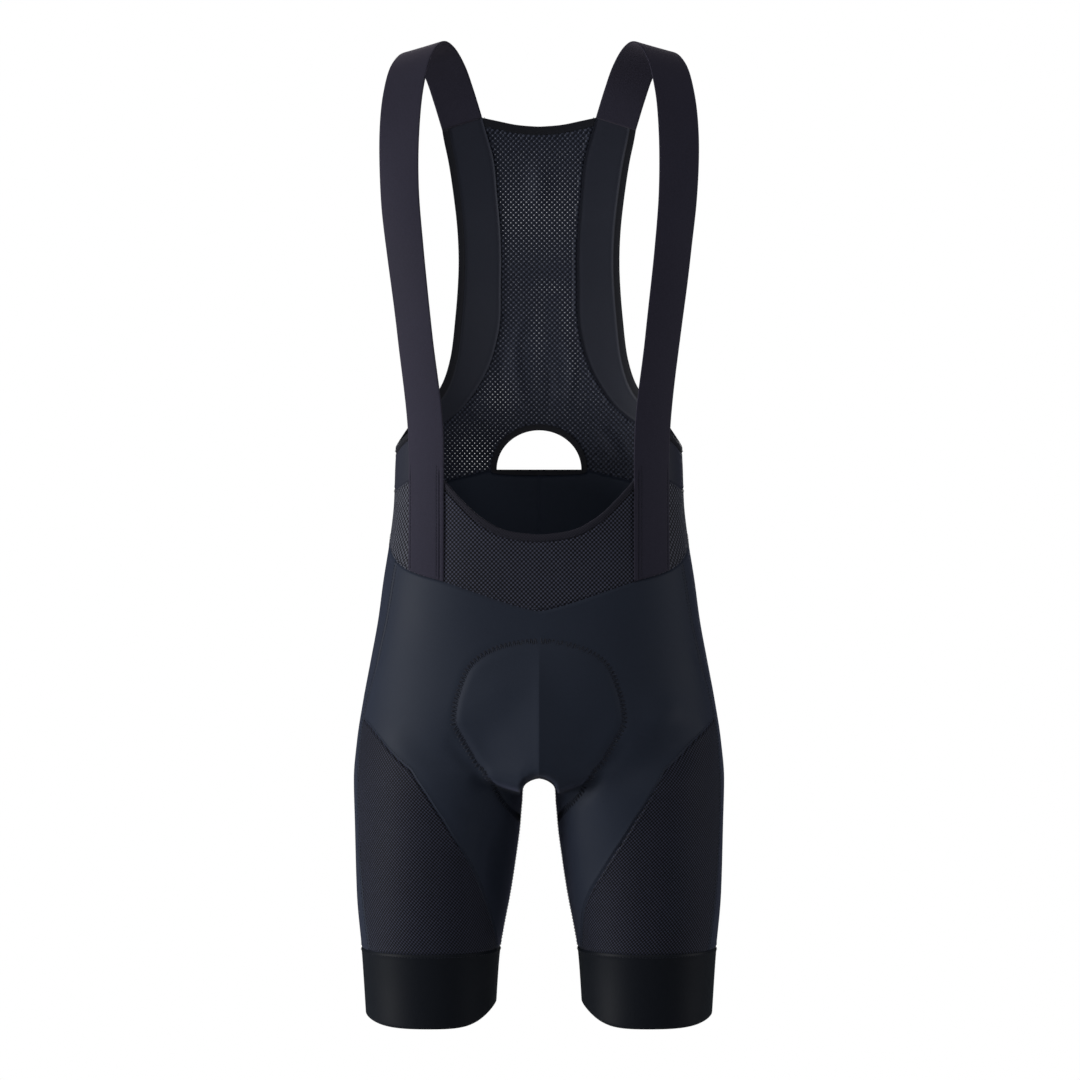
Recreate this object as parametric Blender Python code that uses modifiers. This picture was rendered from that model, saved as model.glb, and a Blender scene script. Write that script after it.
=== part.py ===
"""Cycling bib shorts, worn and hollow: knitted panels, mesh panels, straps, bindings and cuffs.

Every piece of cloth is a wall on one common surface, the garment's form.  A place on the form has
two measures.  "drop" is millimetres down from the top line of the straps.  "turn" is degrees round
one half: 0 at the centre front, 90 at the side, 180 at the centre back, and on a leg 0 and 180 meet
at the inseam.  Turns past 180, or under 0, are the wearer's right half.
"""
import math

import bmesh
import bpy
import numpy as np
from mathutils import Vector

MM = 0.001
NAME = "cycling_bib_shorts"

# Cloth, in millimetres
SEAM = 0.3             # gap between two pieces at a seam
MERGE = 0.1            # points nearer than this are one point
SAME = 1e-6            # turns nearer than this are equal
KNIT = 1.2             # panels, smooth or mesh
FOLDED = 2.0           # hems, bindings and cuffs, which are doubled
WEBBING = 1.5
WEBBING_WIDTH = 40.0
BINDING_WIDTH = 7.0
PAD = 6.0
STRAP_LIFT = 2.1       # outer face of the straps over the panels they are sewn on
STRAP_LANDING = 0.2    # last part of a strap, in which it comes down to the back's own surface
PAD_DEPTH = 8.5       # outer face of the pad under the outer face of the shorts

# Heights, as drops in millimetres
REST = 4.0             # the shoulders carry the straps this far under the top line
CROTCH = 688.0
CUFF_SEAM = 847.0
HEM = 914.0
HEM_DIP = 2.5          # the cuff's edge is this much lower at the front and back
HEM_RISE = (17.0, 6.0)      # and this much higher at the inseam and the outer side
ON_CHEST = 150.0       # from here down the front straps lie on the form

# Crotch and thighs
CROTCH_RISE = 100.0    # height in which the crotch curve swings from underneath to the front
ARCH_HALF_WIDTH = 15.0
ARCH_HEIGHT = 14.0
TURN_LENGTH = 2.7      # cloth in one degree of turn, about
LEG_BLEND = 103.0      # height above the crotch in which one body section becomes two legs
ARCH_BLEND = 90.0      # height below the crotch in which the arch comes to narrow the whole leg
LEG_SQUARENESS = 2.15
FREE_TURN = 150.0      # degrees round a leg up to which the crotch doesn't crowd the turns

# Vent at the small of the back
VENT_HALF_WIDTH = 41.0
VENT_HEIGHT = 38.0
VENT_BOTTOM = 398.0

# Corners of the panels, in turn and drop
STRAP_SEAM_TURN = 40.3     # where the waist seam passes under the middle of a strap
MESH_SEAM_TURN = 136.0     # seam between the side mesh and the back mesh

# Steps along the seams, the same on both sides of each seam
INSEAM_STEPS = 6
FRONT_ROWS = INSEAM_STEPS + 6
BACK_ROWS = INSEAM_STEPS + 11
PAD_COLUMNS = 4
PAD_FRONT_ROWS = 6
PAD_BACK_ROWS = 5
DIAGONAL_TOP_STEPS = 7     # along the diagonal seam, to the corner of the thigh mesh
DIAGONAL_FOOT_STEPS = 5
WAIST_STEPS = (10, 3, 9, 3)    # along the waist seam: centre, strap, side seam, mesh seam, vent
BAND_BACK_STEPS = 13       # along the side band, beside the back mesh
BAND_SIDE_STEPS = 12       # and on over the side mesh
VENT_STEPS = 8             # over the vent
SIDE_MESH_STEPS = 4        # down the seam between side mesh and back mesh


def table(columns, *rows):
    """Columns of a small table, by name."""
    return dict(zip(columns.split(), np.array(rows, dtype=float).T))


GIRTH = table(
    "drop  half_width",
    (50, 185), (90, 181), (150, 171), (210, 159), (270, 148), (330, 138), (374, 134), (400, 135),
    (430, 136), (466, 140), (504, 146), (541, 151), (579, 158), (616, 165), (654, 171), (690, 174),
    (730, 173), (797, 171), (853, 166), (914, 162))

BODY = table(
    "drop  front  back  squareness",
    (50, 60, 76, 2.5),
    (90, 80, 97, 2.7),
    (150, 98, 111, 2.8),
    (210, 107, 113, 2.8),
    (270, 107, 107, 2.7),
    (330, 103, 98, 2.6),
    (400, 97, 91, 2.6),
    (466, 95, 93, 2.6),
    (541, 98, 109, 2.5),
    (616, 101, 123, 2.4),
    (690, 97, 112, 2.4))

LEG = table(
    "drop  middle  forward  front  back  spread",
    (585, 84, 6, 100, 112, 0),
    (640, 85, 5, 102, 113, 0),
    (688, 87, 3, 101, 106, 0),
    (730, 93, 2, 95, 95, 2.4),
    (764, 96, 1, 90, 88, 6.7),
    (797, 98, 0, 84, 81, 11.8),
    (831, 100, -1, 78, 74, 18.4),
    (853, 101, -1, 74, 70, 22),
    (880, 101, -1, 70, 67, 24.2),
    (914, 101, -1, 67, 65, 26))

# Between the thighs the pad fills out the front to a ridge at the centre seam, then turns under
RIDGE = table(
    "drop  front",
    (540, 80), (560, 93), (580, 100), (600, 103.5), (620, 107), (640, 109.5), (655, 110.5),
    (675, 110.5), (690, 108), (710, 100))
RIDGE_FOOT = table(
    "drop  fall",
    (640, 0), (651, 1.5), (661, 5), (670, 11.5), (679, 21), (688, 35), (697, 55), (707, 90), (721, 160))
RIDGE_SLOPE = 0.3
RIDGE_HALF_WIDTH = 55.0
RIDGE_FALL = 0.02          # how fast it gives way to the thigh beyond its half width
RIDGE_SOFTNESS = 12.0

# Seams and edges on the left half
WAIST = table(
    "turn  drop",
    (0, 531), (18, 514), (30, 505), (44, 498), (57, 491), (76, 476), (100, 452), (125, 426),
    (144, 410), (160, 403), (170, 398.5), (180, 397))

SCOOP = table(
    "turn  drop",
    (0, 461), (8, 457), (17, 445), (26, 428), (33, 414), (39, 403), (44.8, 396))

SIDE_SEAM = table(
    "turn  drop",
    (64, 486), (66, 530), (70, 580), (75, 632), (77, 690), (77, 750), (75, 800), (73, 847))

DIAGONAL = table(
    "turn  drop",
    (75, 632), (64, 640), (55.5, 652), (50, 667), (45, 686), (38.8, 712), (33.4, 738), (27.3, 761),
    (20.5, 786), (14, 814), (8, 847))

SIDE_BAND = table(
    "edge_turn  edge_drop  seam_turn  seam_drop",
    (155.5, 71, 167.7, 59),
    (157.8, 99, 171.1, 91),
    (159.3, 137, 172.4, 129),
    (159.4, 175, 172.9, 172),
    (157.9, 214, 172.4, 216),
    (154.5, 253, 170.7, 262),
    (149.9, 290, 165.4, 301),
    (142.4, 319, 154.4, 336),
    (128.0, 340, 136.0, 362),
    (112.0, 361.5, 119.0, 388),
    (96.0, 374, 102.0, 408),
    (80.0, 378, 84.0, 419),
    (62.0, 368, 64.0, 414),
    (44.8, 358, 44.8, 404))

NECKLINE = table(
    "turn  drop",
    (167.7, 59), (172, 62), (176.7, 65.5), (180, 66.9))

STRAP = table(
    "out  forward  drop  yaw  slope",
    (103, 0, 496, 34, 0),
    (103, 0, 430, 34, 0),
    (104, 0, 360, 34, 0),
    (113, 0, 280, 34, 0),
    (122, 0, 200, 31, 0),
    (127, 0, ON_CHEST, 26, 0),
    (128, 72, 92, 22, 1),
    (125, 55, 52, 20, 5),
    (118, 31, 20, 17, 11),
    (107, 2, 4, 14, 14),
    (98, -23, 7, 11, 15),
    (89, -44, 21, 7, 16),
    (82, -62, 40, 3, 17))

PAD_OUTLINE = table(
    "turn  drop",
    (11, 574), (20, 584), (25, 605), (24, 632), (18, 666), (11, 694))
PAD_BACK_OUTLINE = table(
    "turn  drop",
    (169, 600), (160, 611), (156, 632), (160, 662), (169, 694))
PAD_CORNER = 0.42          # corner of each quarter of the pad, as a share of its outline
PAD_REACH = (0.83, 0.49)   # shares of the centre line that it takes up, at the front and the back
PAD_INSEAM_REACH = 0.5     # and of the inseam

FINISHES = {
    "knit": ((0.021, 0.026, 0.043), 0.55),
    "mesh": ((0.017, 0.018, 0.028), 0.75),
    "webbing": ((0.030, 0.028, 0.038), 0.85),
    "binding": ((0.008, 0.008, 0.011), 0.65),
    "cuff": ((0.008, 0.010, 0.014), 0.60),
    "pad": ((0.020, 0.020, 0.024), 0.90),
}


def clear_scene():
    for thing in list(bpy.data.objects):
        bpy.data.objects.remove(thing)


def smooth(at, knots, values, slopes):
    """Cubic curve through values at knots, with the given slopes."""
    at = np.clip(np.asarray(at, dtype=float), knots[0], knots[-1])
    left = np.clip(np.searchsorted(knots, at) - 1, 0, len(knots) - 2)
    width = knots[left + 1] - knots[left]
    step = (at - knots[left]) / width
    rest = 1 - step
    return (values[left] * (1 + 2 * step) * rest ** 2
            + slopes[left] * width * step * rest ** 2
            + values[left + 1] * step ** 2 * (1 + 2 * rest)
            - slopes[left + 1] * width * step ** 2 * rest)


def column(source, name, drop):
    """A table's column at any drop, with no swing past its rows."""
    knots = source["drop"]
    values = source[name]
    rise = np.diff(values) / np.diff(knots)
    slopes = np.zeros(len(values))
    product = rise[:-1] * rise[1:]
    level = product > 0
    slopes[1:-1][level] = 2 * product[level] / (rise[:-1] + rise[1:])[level]
    slopes[0] = rise[0]
    slopes[-1] = rise[-1]
    return smooth(drop, knots, values, slopes)


def route(columns, lengths):
    """A smooth line through rows of numbers, as a function of 0 to 1 at an even pace.

    Each column has its length, in millimetres for a step of one, for the pace.
    """
    rows = np.array(columns).T
    lengths = np.linalg.norm(np.diff(rows * np.array(lengths), axis=0), axis=1)
    knots = np.concatenate([[0.0], np.cumsum(lengths)]) / lengths.sum()
    slopes = np.gradient(rows, knots, axis=0)

    def at(share):
        share = np.asarray(share, dtype=float)
        values = [smooth(share, knots, rows[:, place], slopes[:, place]) for place in range(rows.shape[1])]
        return np.stack(values, axis=-1)

    return at


def body_section(turn, drop):
    width = column(GIRTH, "half_width", drop)
    front = column(BODY, "front", drop)
    back = column(BODY, "back", drop)
    power = 2 / column(BODY, "squareness", drop)
    angle = np.radians(turn)
    cosine = np.cos(angle)
    across = width * np.abs(np.sin(angle)) ** power
    depth = np.where(cosine > 0, -front, back) * np.abs(cosine) ** power
    return across, depth


def leg_section(turn, drop):
    middle = column(LEG, "middle", drop)
    outer = column(GIRTH, "half_width", drop) - middle
    below = np.clip(drop - CROTCH, 0, None)
    arch = np.sqrt(1 - (1 - np.clip(below / ARCH_HEIGHT, 0, 1)) ** 2)
    share = np.clip(1 - (CROTCH - drop) / CROTCH_RISE, 0.05, 1)
    inner = np.where(drop < CROTCH, middle / share, middle - column(LEG, "spread", drop))
    end = 180 - np.degrees(np.arccos(share ** (LEG_SQUARENESS / 2)))
    evened = FREE_TURN + (180 - FREE_TURN) * np.clip(below / (HEM - CROTCH), 0, 1)
    free = np.minimum(end, evened)
    signed = turn / 90 - 1
    angle = np.radians(signed * (free + (end - free) * np.abs(signed) ** 6))
    cosine = np.cos(angle)
    sine = np.sin(angle)
    power = 2 / LEG_SQUARENESS
    wide = np.abs(cosine) ** power
    pulled = wide ** 5 + (wide - wide ** 5) * ease(below / ARCH_BLEND)
    across = middle + np.where(cosine > 0, outer * wide, ARCH_HALF_WIDTH * arch * pulled - inner * wide)
    reach = np.where(sine < 0, -column(LEG, "front", drop), column(LEG, "back", drop))
    depth = reach * np.abs(sine) ** power + column(LEG, "forward", drop)
    return across, depth


def pad_front(across, drop):
    """How far forward the pad fills the front."""
    fall = RIDGE_FALL * np.clip(across - RIDGE_HALF_WIDTH, 0, None) ** 2 + column(RIDGE_FOOT, "fall", drop)
    return column(RIDGE, "front", drop) - RIDGE_SLOPE * across - fall


def half_form(turn, drop):
    """Points in millimetres on the left half."""
    body_across, body_depth = body_section(turn, drop)
    leg_across, leg_depth = leg_section(turn, drop)
    blend = ease((drop - CROTCH) / LEG_BLEND + 1)
    across = body_across + (leg_across - body_across) * blend
    depth = body_depth + (leg_depth - body_depth) * blend
    filled = pad_front(across, drop)
    filled = (filled - depth + np.hypot(filled + depth, RIDGE_SOFTNESS)) / 2
    depth = depth - (filled + depth) * ease(-depth / 25)
    return np.stack([across, depth, REST - drop], axis=-1)


def halves(places):
    """Turns and drops as on the left half, and which side each place is on."""
    turn = np.where(places[..., 0] > 180 + SAME, places[..., 0] - 360, places[..., 0])
    side = np.where(turn < -SAME, -1.0, 1.0)
    return np.clip(np.abs(turn), 0, 180), places[..., 1], np.stack([side, side ** 2, side ** 2], axis=-1)


def form(places):
    """Points in millimetres for an array of places, each a turn and a drop."""
    turn, drop, side = halves(places)
    return half_form(turn, drop) * side


def ease(x):
    x = np.clip(x, 0, 1)
    return x * x * (3 - 2 * x)


def unit(vectors):
    return vectors / np.linalg.norm(vectors, axis=-1, keepdims=True)


def outward(places):
    """Directions square to the form, away from the wearer."""
    turn, drop, side = halves(places)
    step = 0.5
    around = half_form(np.clip(turn + step, 0, 180), drop) - half_form(np.clip(turn - step, 0, 180), drop)
    down = half_form(turn, drop + step) - half_form(turn, drop - step)
    normals = unit(np.cross(down, around))
    normals[..., 0] *= np.clip(half_form(turn, drop)[..., 0] / 3, 0, 1)    # the halves meet at the centre
    return unit(normals) * side


def front_turn(out, drop):
    """Turn of the place on the front that is so far out from the centre line."""
    share = np.clip(out / column(GIRTH, "half_width", drop), 0, 1)
    return np.degrees(np.arcsin(share ** (column(BODY, "squareness", drop) / 2)))


def seam(source, start=0.0, end=1.0):
    """Part of a seam, as a function of 0 to 1."""
    line = route((source["turn"], source["drop"]), (TURN_LENGTH, 1))
    return lambda share: line(start + (end - start) * np.asarray(share, dtype=float))


def share_at(line, turn=None, drop=None):
    """How far along a line it passes a turn, or a drop, which it passes only once."""
    shares = np.linspace(0, 1, 801)
    goal, values = (turn, line(shares)[:, 0]) if drop is None else (drop, line(shares)[:, 1])
    order = np.argsort(values)
    return float(np.interp(goal, values[order], shares[order]))


def straight(start, end):
    start = np.array(start, dtype=float)
    end = np.array(end, dtype=float)
    return lambda share: start + (end - start) * np.asarray(share, dtype=float)[..., None]


def patch(bottom, top, left, right):
    """Places between four edges that meet at their ends."""

    def at(across, up):
        u = across[..., None]
        v = up[..., None]
        zero = np.zeros(1)
        corners = ((1 - u) * (1 - v) * bottom(zero) + u * (1 - v) * bottom(zero + 1)
                   + (1 - u) * v * top(zero) + u * v * top(zero + 1))
        return ((1 - v) * bottom(across) + v * top(across)
                + (1 - u) * left(up) + u * right(up) - corners)

    return at


def draw_in(points, edges):
    """Move the named edges of a grid of points inwards by half a seam's gap."""
    moved = points.copy()
    views = {"left": np.s_[:, 0], "right": np.s_[:, -1], "bottom": np.s_[0, :], "top": np.s_[-1, :]}
    inside = {"left": np.s_[:, 1], "right": np.s_[:, -2], "bottom": np.s_[1, :], "top": np.s_[-2, :]}
    for edge in edges:
        line = points[views[edge]]
        run = np.gradient(line, axis=0)
        run /= np.linalg.norm(run, axis=1, keepdims=True)
        step = points[inside[edge]] - line
        step -= (step * run).sum(axis=1, keepdims=True) * run
        moved[views[edge]] += SEAM / 2 * step / np.linalg.norm(step, axis=1, keepdims=True)
    return moved


def grid(sheet, points):
    """Add a grid of points, columns to the wearer's left and rows up, facing outwards."""
    rows = points.shape[0] - 1
    columns = points.shape[1] - 1
    made = bmesh.ops.create_grid(sheet, x_segments=columns, y_segments=rows, size=0.5)["verts"]
    for corner in made:
        place = (round((corner.co.y + 0.5) * rows), round((corner.co.x + 0.5) * columns))
        corner.co = Vector(points[place]) * MM
        corner.tag = place[0] == 0
    return made


def shell(outer, inner, ring=False):
    """A closed wall between two grids of points; the columns of a ring meet."""
    sheet = bmesh.new()
    grid(sheet, outer)
    lining = grid(sheet, inner)
    bmesh.ops.reverse_faces(sheet, faces=list({face for corner in lining for face in corner.link_faces}))
    if ring:
        bmesh.ops.remove_doubles(sheet, verts=sheet.verts, dist=MERGE * MM)
    rims = [edge for edge in sheet.edges if edge.is_boundary]
    if ring:
        foot = [edge for edge in rims if edge.verts[0].tag and edge.verts[1].tag]
        bmesh.ops.bridge_loops(sheet, edges=foot)
        rims = [edge for edge in rims if edge.is_boundary]
    bmesh.ops.bridge_loops(sheet, edges=rims)
    return sheet


def flip(sheet):
    """Make a left piece a right one."""
    for corner in sheet.verts:
        corner.co.x = -corner.co.x
    bmesh.ops.reverse_faces(sheet, faces=sheet.faces)


def finish(kind):
    material = bpy.data.materials.get(kind)
    if material is None:
        colour, roughness = FINISHES[kind]
        material = bpy.data.materials.new(kind)
        material.use_nodes = True
        shader = material.node_tree.nodes["Principled BSDF"]
        shader.inputs["Base Color"].default_value = (*colour, 1.0)
        shader.inputs["Roughness"].default_value = roughness
    return material


def piece(name, sheet, kind):
    mesh = bpy.data.meshes.new(name)
    sheet.to_mesh(mesh)
    sheet.free()
    mesh.set_sharp_from_angle(angle=math.radians(50))
    mesh.materials.append(finish(kind))
    made = bpy.data.objects.new(name, mesh)
    bpy.data.collections[NAME].objects.link(made)
    return made


def cloth(name, kind, place, columns, rows, thickness=KNIT, mirrored=False,
          edges=("left", "right", "bottom", "top"), ring=False):
    """A piece of cloth over places that are given by shares across and up."""
    across, up = np.meshgrid(np.linspace(0, 1, columns + 1), np.linspace(0, 1, rows + 1))
    places = place(across, up)
    outer = draw_in(form(places), edges)
    inner = outer - thickness * outward(places)
    sheet = shell(outer, inner, ring)
    if mirrored:
        flip(sheet)
    return piece(name, sheet, kind)


def pair(name, kind, place, columns, rows, **settings):
    """The same piece for the wearer's left and right."""
    cloth(name + "_left", kind, place, columns, rows, **settings)
    cloth(name + "_right", kind, place, columns, rows, mirrored=True, **settings)


def crotch_line(turn, rows, top):
    """The inseam up to the crotch, then the centre line up to a drop, for a panel with these rows."""
    corner = INSEAM_STEPS / rows

    def at(up):
        up = np.asarray(up, dtype=float)
        down = np.clip(1 - up / corner, 0, 1) ** 2
        rise = np.clip((up - corner) / (1 - corner), 0, 1) ** 1.6
        drop = CROTCH + (CUFF_SEAM - CROTCH) * down - (CROTCH - top) * rise
        return np.stack([np.full(drop.shape, float(turn)), drop], axis=-1)

    return at


def vent_line(angle, margin):
    """Edge of the vent, or of its binding when given the binding's width as a margin."""
    x = (VENT_HALF_WIDTH + margin) * np.cos(angle)
    rise = np.sin(angle)
    over = (VENT_HEIGHT + margin) * np.clip(rise, 0, None)
    under = margin * np.clip(-rise, 0, None) ** 0.4
    drop = VENT_BOTTOM - over + under
    turn = 180 - np.sign(x) * front_turn(np.abs(x), drop)
    return np.stack([turn, drop], axis=-1)


def waist_seam(first, last):
    """The waist seam between two of its corners: 0 centre, 1 strap, 2 side, 3 mesh seam, 4 vent."""
    line = seam(WAIST)
    vent_corner = vent_line(np.zeros(1), BINDING_WIDTH)[0]
    turns = (0, STRAP_SEAM_TURN, SIDE_SEAM["turn"][0], MESH_SEAM_TURN, vent_corner[0])
    corners = [share_at(line, turn=turn) for turn in turns]
    steps = np.concatenate([[0], np.cumsum(WAIST_STEPS)])
    miss = vent_corner - line(corners[-1])
    full = corners[-1]

    def at(share):
        step = steps[first] + (steps[last] - steps[first]) * np.asarray(share, dtype=float)
        along = np.interp(step, steps, corners)
        return line(along) + miss * ((along / full) ** 12)[..., None]

    return at


def side_seam(share):
    """The side seam from the cuff up, in the steps of the thigh mesh and then of the front panel."""
    line = seam(SIDE_SEAM)
    corner = share_at(line, drop=DIAGONAL["drop"][0])
    step = np.asarray(share, dtype=float) * (DIAGONAL_FOOT_STEPS + FRONT_ROWS)
    stations = (0, DIAGONAL_FOOT_STEPS, DIAGONAL_FOOT_STEPS + FRONT_ROWS)
    return line(np.interp(step, stations, (1, corner, 0)))


def front_panels():
    diagonal_steps = DIAGONAL_TOP_STEPS + DIAGONAL_FOOT_STEPS
    columns = diagonal_steps + 1
    rows = FRONT_ROWS
    foot = straight((0, CUFF_SEAM), (DIAGONAL["turn"][-1], CUFF_SEAM))
    diagonal = seam(DIAGONAL)

    def bottom(share):
        step = share * columns
        beside = diagonal(1 - np.clip((step - 1) / diagonal_steps, 0, 1))
        return np.where((step <= 1)[..., None], foot(np.clip(step, 0, 1)), beside)

    left = crotch_line(0, rows, WAIST["drop"][0])
    corner = DIAGONAL_FOOT_STEPS / (DIAGONAL_FOOT_STEPS + rows)
    right = lambda up: side_seam(corner + (1 - corner) * up)
    pair("front_panel", "knit", patch(bottom, waist_seam(0, 2), left, right), columns, rows)


def leg_meshes():
    split = DIAGONAL_TOP_STEPS / (DIAGONAL_TOP_STEPS + DIAGONAL_FOOT_STEPS)
    bottom = straight((DIAGONAL["turn"][-1], CUFF_SEAM), (SIDE_SEAM["turn"][-1], CUFF_SEAM))
    top = seam(DIAGONAL, split, 0)
    left = seam(DIAGONAL, 1, split)
    corner = DIAGONAL_FOOT_STEPS / (DIAGONAL_FOOT_STEPS + FRONT_ROWS)
    right = lambda up: side_seam(corner * up)
    place = patch(bottom, top, left, right)
    pair("leg_mesh", "mesh", place, DIAGONAL_TOP_STEPS, DIAGONAL_FOOT_STEPS)


def vent_binding():
    def place(across, up):
        angle = math.pi * (0.5 - 2 * across)
        edge = vent_line(angle, 0.0)
        return edge + (vent_line(angle, BINDING_WIDTH) - edge) * (1 - up[..., None])

    cloth("vent_binding", "binding", place, 2 * VENT_STEPS, 1, thickness=FOLDED, edges=("bottom",),
          ring=True)


def back_panels():
    beside_vent = sum(WAIST_STEPS[2:])
    columns = beside_vent + VENT_STEPS // 2
    rows = BACK_ROWS
    corner = beside_vent / columns
    waist = waist_seam(2, 4)

    def top(share):
        beside = waist(np.clip(share / corner, 0, 1))
        under = vent_line(-math.pi / 2 * np.clip((share - corner) / (1 - corner), 0, 1), BINDING_WIDTH)
        return np.where((share < corner)[..., None], beside, under)

    bottom = straight((SIDE_SEAM["turn"][-1], CUFF_SEAM), (180, CUFF_SEAM))
    right = crotch_line(180, rows, VENT_BOTTOM + BINDING_WIDTH)
    pair("back_panel", "knit", patch(bottom, top, side_seam, right), columns, rows)


def cuffs():
    def place(across, up):
        level = np.cos(2 * math.pi * across)
        edge = HEM + HEM_DIP - np.where(level > 0, *HEM_RISE) * level ** 4
        return np.stack([180 * across, edge + (CUFF_SEAM - edge) * up], axis=-1)

    pair("cuff", "cuff", place, 26, 2, thickness=FOLDED, edges=("top",), ring=True)


def both_sides(line):
    """A line over both halves from one that starts at the centre front."""

    def at(share):
        signed = 2 * np.asarray(share, dtype=float) - 1
        places = line(np.abs(signed))
        places[..., 0] *= np.where(signed < 0, -1, 1)
        return places

    return at


def shifted_down(line, distance):
    return lambda share: line(share) + np.array([0.0, distance])


def belly():
    columns = 2 * WAIST_STEPS[0]
    scoop = both_sides(seam(SCOOP))
    under_hem = shifted_down(scoop, BINDING_WIDTH)
    waist = both_sides(waist_seam(0, 1))
    ends = np.array([0.0, 1.0])
    low = waist(ends)
    high = under_hem(ends)
    left = straight(low[0], high[0])
    right = straight(low[1], high[1])
    cloth("belly_panel", "mesh", patch(waist, under_hem, left, right), columns, 5)

    def hem(across, up):
        return under_hem(across) + (scoop(across) - under_hem(across)) * up[..., None]

    cloth("belly_hem", "mesh", hem, columns, 1, thickness=FOLDED, edges=("left", "right", "bottom"))


def band_line(side):
    """The armhole edge or the inner seam of the side band, from the shoulder to the strap."""
    columns = [SIDE_BAND[name] for name in ("edge_turn", "edge_drop", "seam_turn", "seam_drop")]
    line = route(columns, (TURN_LENGTH, 1, TURN_LENGTH, 1))
    kept = slice(0, 2) if side == "edge" else slice(2, 4)
    return lambda share: line(share)[..., kept]


def band_stations():
    """Shares of the side band's lines: the shoulder, under the neck binding, then even steps."""
    inner = band_line("seam")
    neck = share_at(inner, drop=NECKLINE["drop"][0] + BINDING_WIDTH)
    split = share_at(inner, turn=MESH_SEAM_TURN)
    beside = np.linspace(neck, split, BAND_BACK_STEPS + 1)
    over = np.linspace(split, 1, BAND_SIDE_STEPS + 1)
    return np.concatenate([[0.0], beside, over[1:]])


def band_share(step):
    stations = band_stations()
    return np.interp(step, np.arange(len(stations)), stations)


def side_bands():
    edge = band_line("edge")
    inner = band_line("seam")
    steps = len(band_stations()) - 1

    def from_armhole(share, reach):
        start = edge(share)
        end = inner(share)
        width = np.linalg.norm(form(end) - form(start), axis=-1)
        return start + (end - start) * (reach / width)[..., None]

    def band(across, up):
        share = band_share(steps * (1 - across))
        bound = from_armhole(share, BINDING_WIDTH)
        return inner(share) + (bound - inner(share)) * up[..., None]

    def binding(across, up):
        return from_armhole(band_share(steps * (1 - across)), BINDING_WIDTH * (1 - up))

    pair("side_band", "knit", band, steps, 3)
    pair("armhole_binding", "binding", binding, steps, 1, thickness=FOLDED,
         edges=("left", "right", "bottom"))


def over_the_back(line):
    """A line over both halves from one that runs from the left to the centre back."""

    def at(share):
        share = np.asarray(share, dtype=float)
        places = line(1 - np.abs(2 * share - 1))
        places[..., 0] = np.where(share > 0.5, 360 - places[..., 0], places[..., 0])
        return places

    return at


def mesh_seam():
    """Seam between the side mesh and the back mesh, from the waist up to the side band."""
    foot = waist_seam(3, 4)(0.0)
    head = band_line("seam")(share_at(band_line("seam"), turn=MESH_SEAM_TURN))
    return straight(foot, head)


def back_mesh():
    columns = VENT_STEPS + 6
    rows = SIDE_MESH_STEPS + BAND_BACK_STEPS
    corner = 1 - VENT_STEPS / columns
    waist = waist_seam(3, 4)
    inner = band_line("seam")
    neckline = seam(NECKLINE)
    neck_corner = inner(band_share(1))
    ease = neck_corner[0] - NECKLINE["turn"][0]

    def left(up):
        step = np.asarray(up) * rows
        beside = inner(band_share(1 + rows - np.clip(step, SIDE_MESH_STEPS, rows)))
        below = mesh_seam()(np.clip(step / SIDE_MESH_STEPS, 0, 1))
        return np.where((step < SIDE_MESH_STEPS)[..., None], below, beside)

    def bottom(share):
        beside = waist(np.clip(share / corner, 0, 1))
        over = vent_line(math.pi / 2 * np.clip((share - corner) / (1 - corner), 0, 1), BINDING_WIDTH)
        return np.where((share < corner)[..., None], beside, over)

    def top(share):
        places = neckline(share) + np.array([0.0, BINDING_WIDTH])
        places[..., 0] += ease * (1 - share)
        return places

    right = lambda up: left(up) * np.array([-1, 1]) + np.array([360.0, 0.0])
    place = patch(over_the_back(bottom), over_the_back(top), left, right)
    cloth("back_mesh", "mesh", place, columns, rows)

    def binding(across, up):
        low = over_the_back(top)(across)
        return low + (over_the_back(neckline)(across) - low) * up[..., None]

    cloth("neck_binding", "binding", binding, columns, 1, thickness=FOLDED,
          edges=("left", "right", "bottom"))


def side_meshes():
    bottom = waist_seam(1, 3)
    inner = band_line("seam")
    last = len(band_stations()) - 1
    top = lambda share: inner(band_share(last - BAND_SIDE_STEPS * np.asarray(share)))
    left = straight(bottom(0.0), inner(1.0))
    place = patch(bottom, top, left, mesh_seam())
    pair("side_mesh", "mesh", place, BAND_SIDE_STEPS, SIDE_MESH_STEPS)


def shoulder_seam():
    """End of the strap on the back, from its inner to its outer edge."""
    first = {name: SIDE_BAND[name][0] for name in SIDE_BAND}
    return straight((first["seam_turn"], first["seam_drop"]), (first["edge_turn"], first["edge_drop"]))


def strap_route():
    """Middle and width direction of the strap, from the waist seam to the shoulder seam."""
    out = STRAP["out"]
    drop = STRAP["drop"]
    on_form = form(np.stack([front_turn(out, drop), drop], axis=-1))
    middle = np.where((drop >= ON_CHEST)[:, None], on_form,
                      np.stack([out, -STRAP["forward"], REST - drop], axis=-1))
    yaw = np.radians(STRAP["yaw"])
    slope = np.radians(STRAP["slope"])
    width = np.stack([np.cos(yaw) * np.cos(slope), np.sin(yaw) * np.cos(slope), -np.sin(slope)], axis=-1)
    ends = form(shoulder_seam()(np.array([0.0, 1.0])))
    last = np.concatenate([ends.mean(axis=0), (ends[1] - ends[0]) / np.linalg.norm(ends[1] - ends[0])])
    rows = np.vstack([np.concatenate([middle, width], axis=1), last])
    return route(rows.T, (1, 1, 1, 0, 0, 0))


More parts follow.
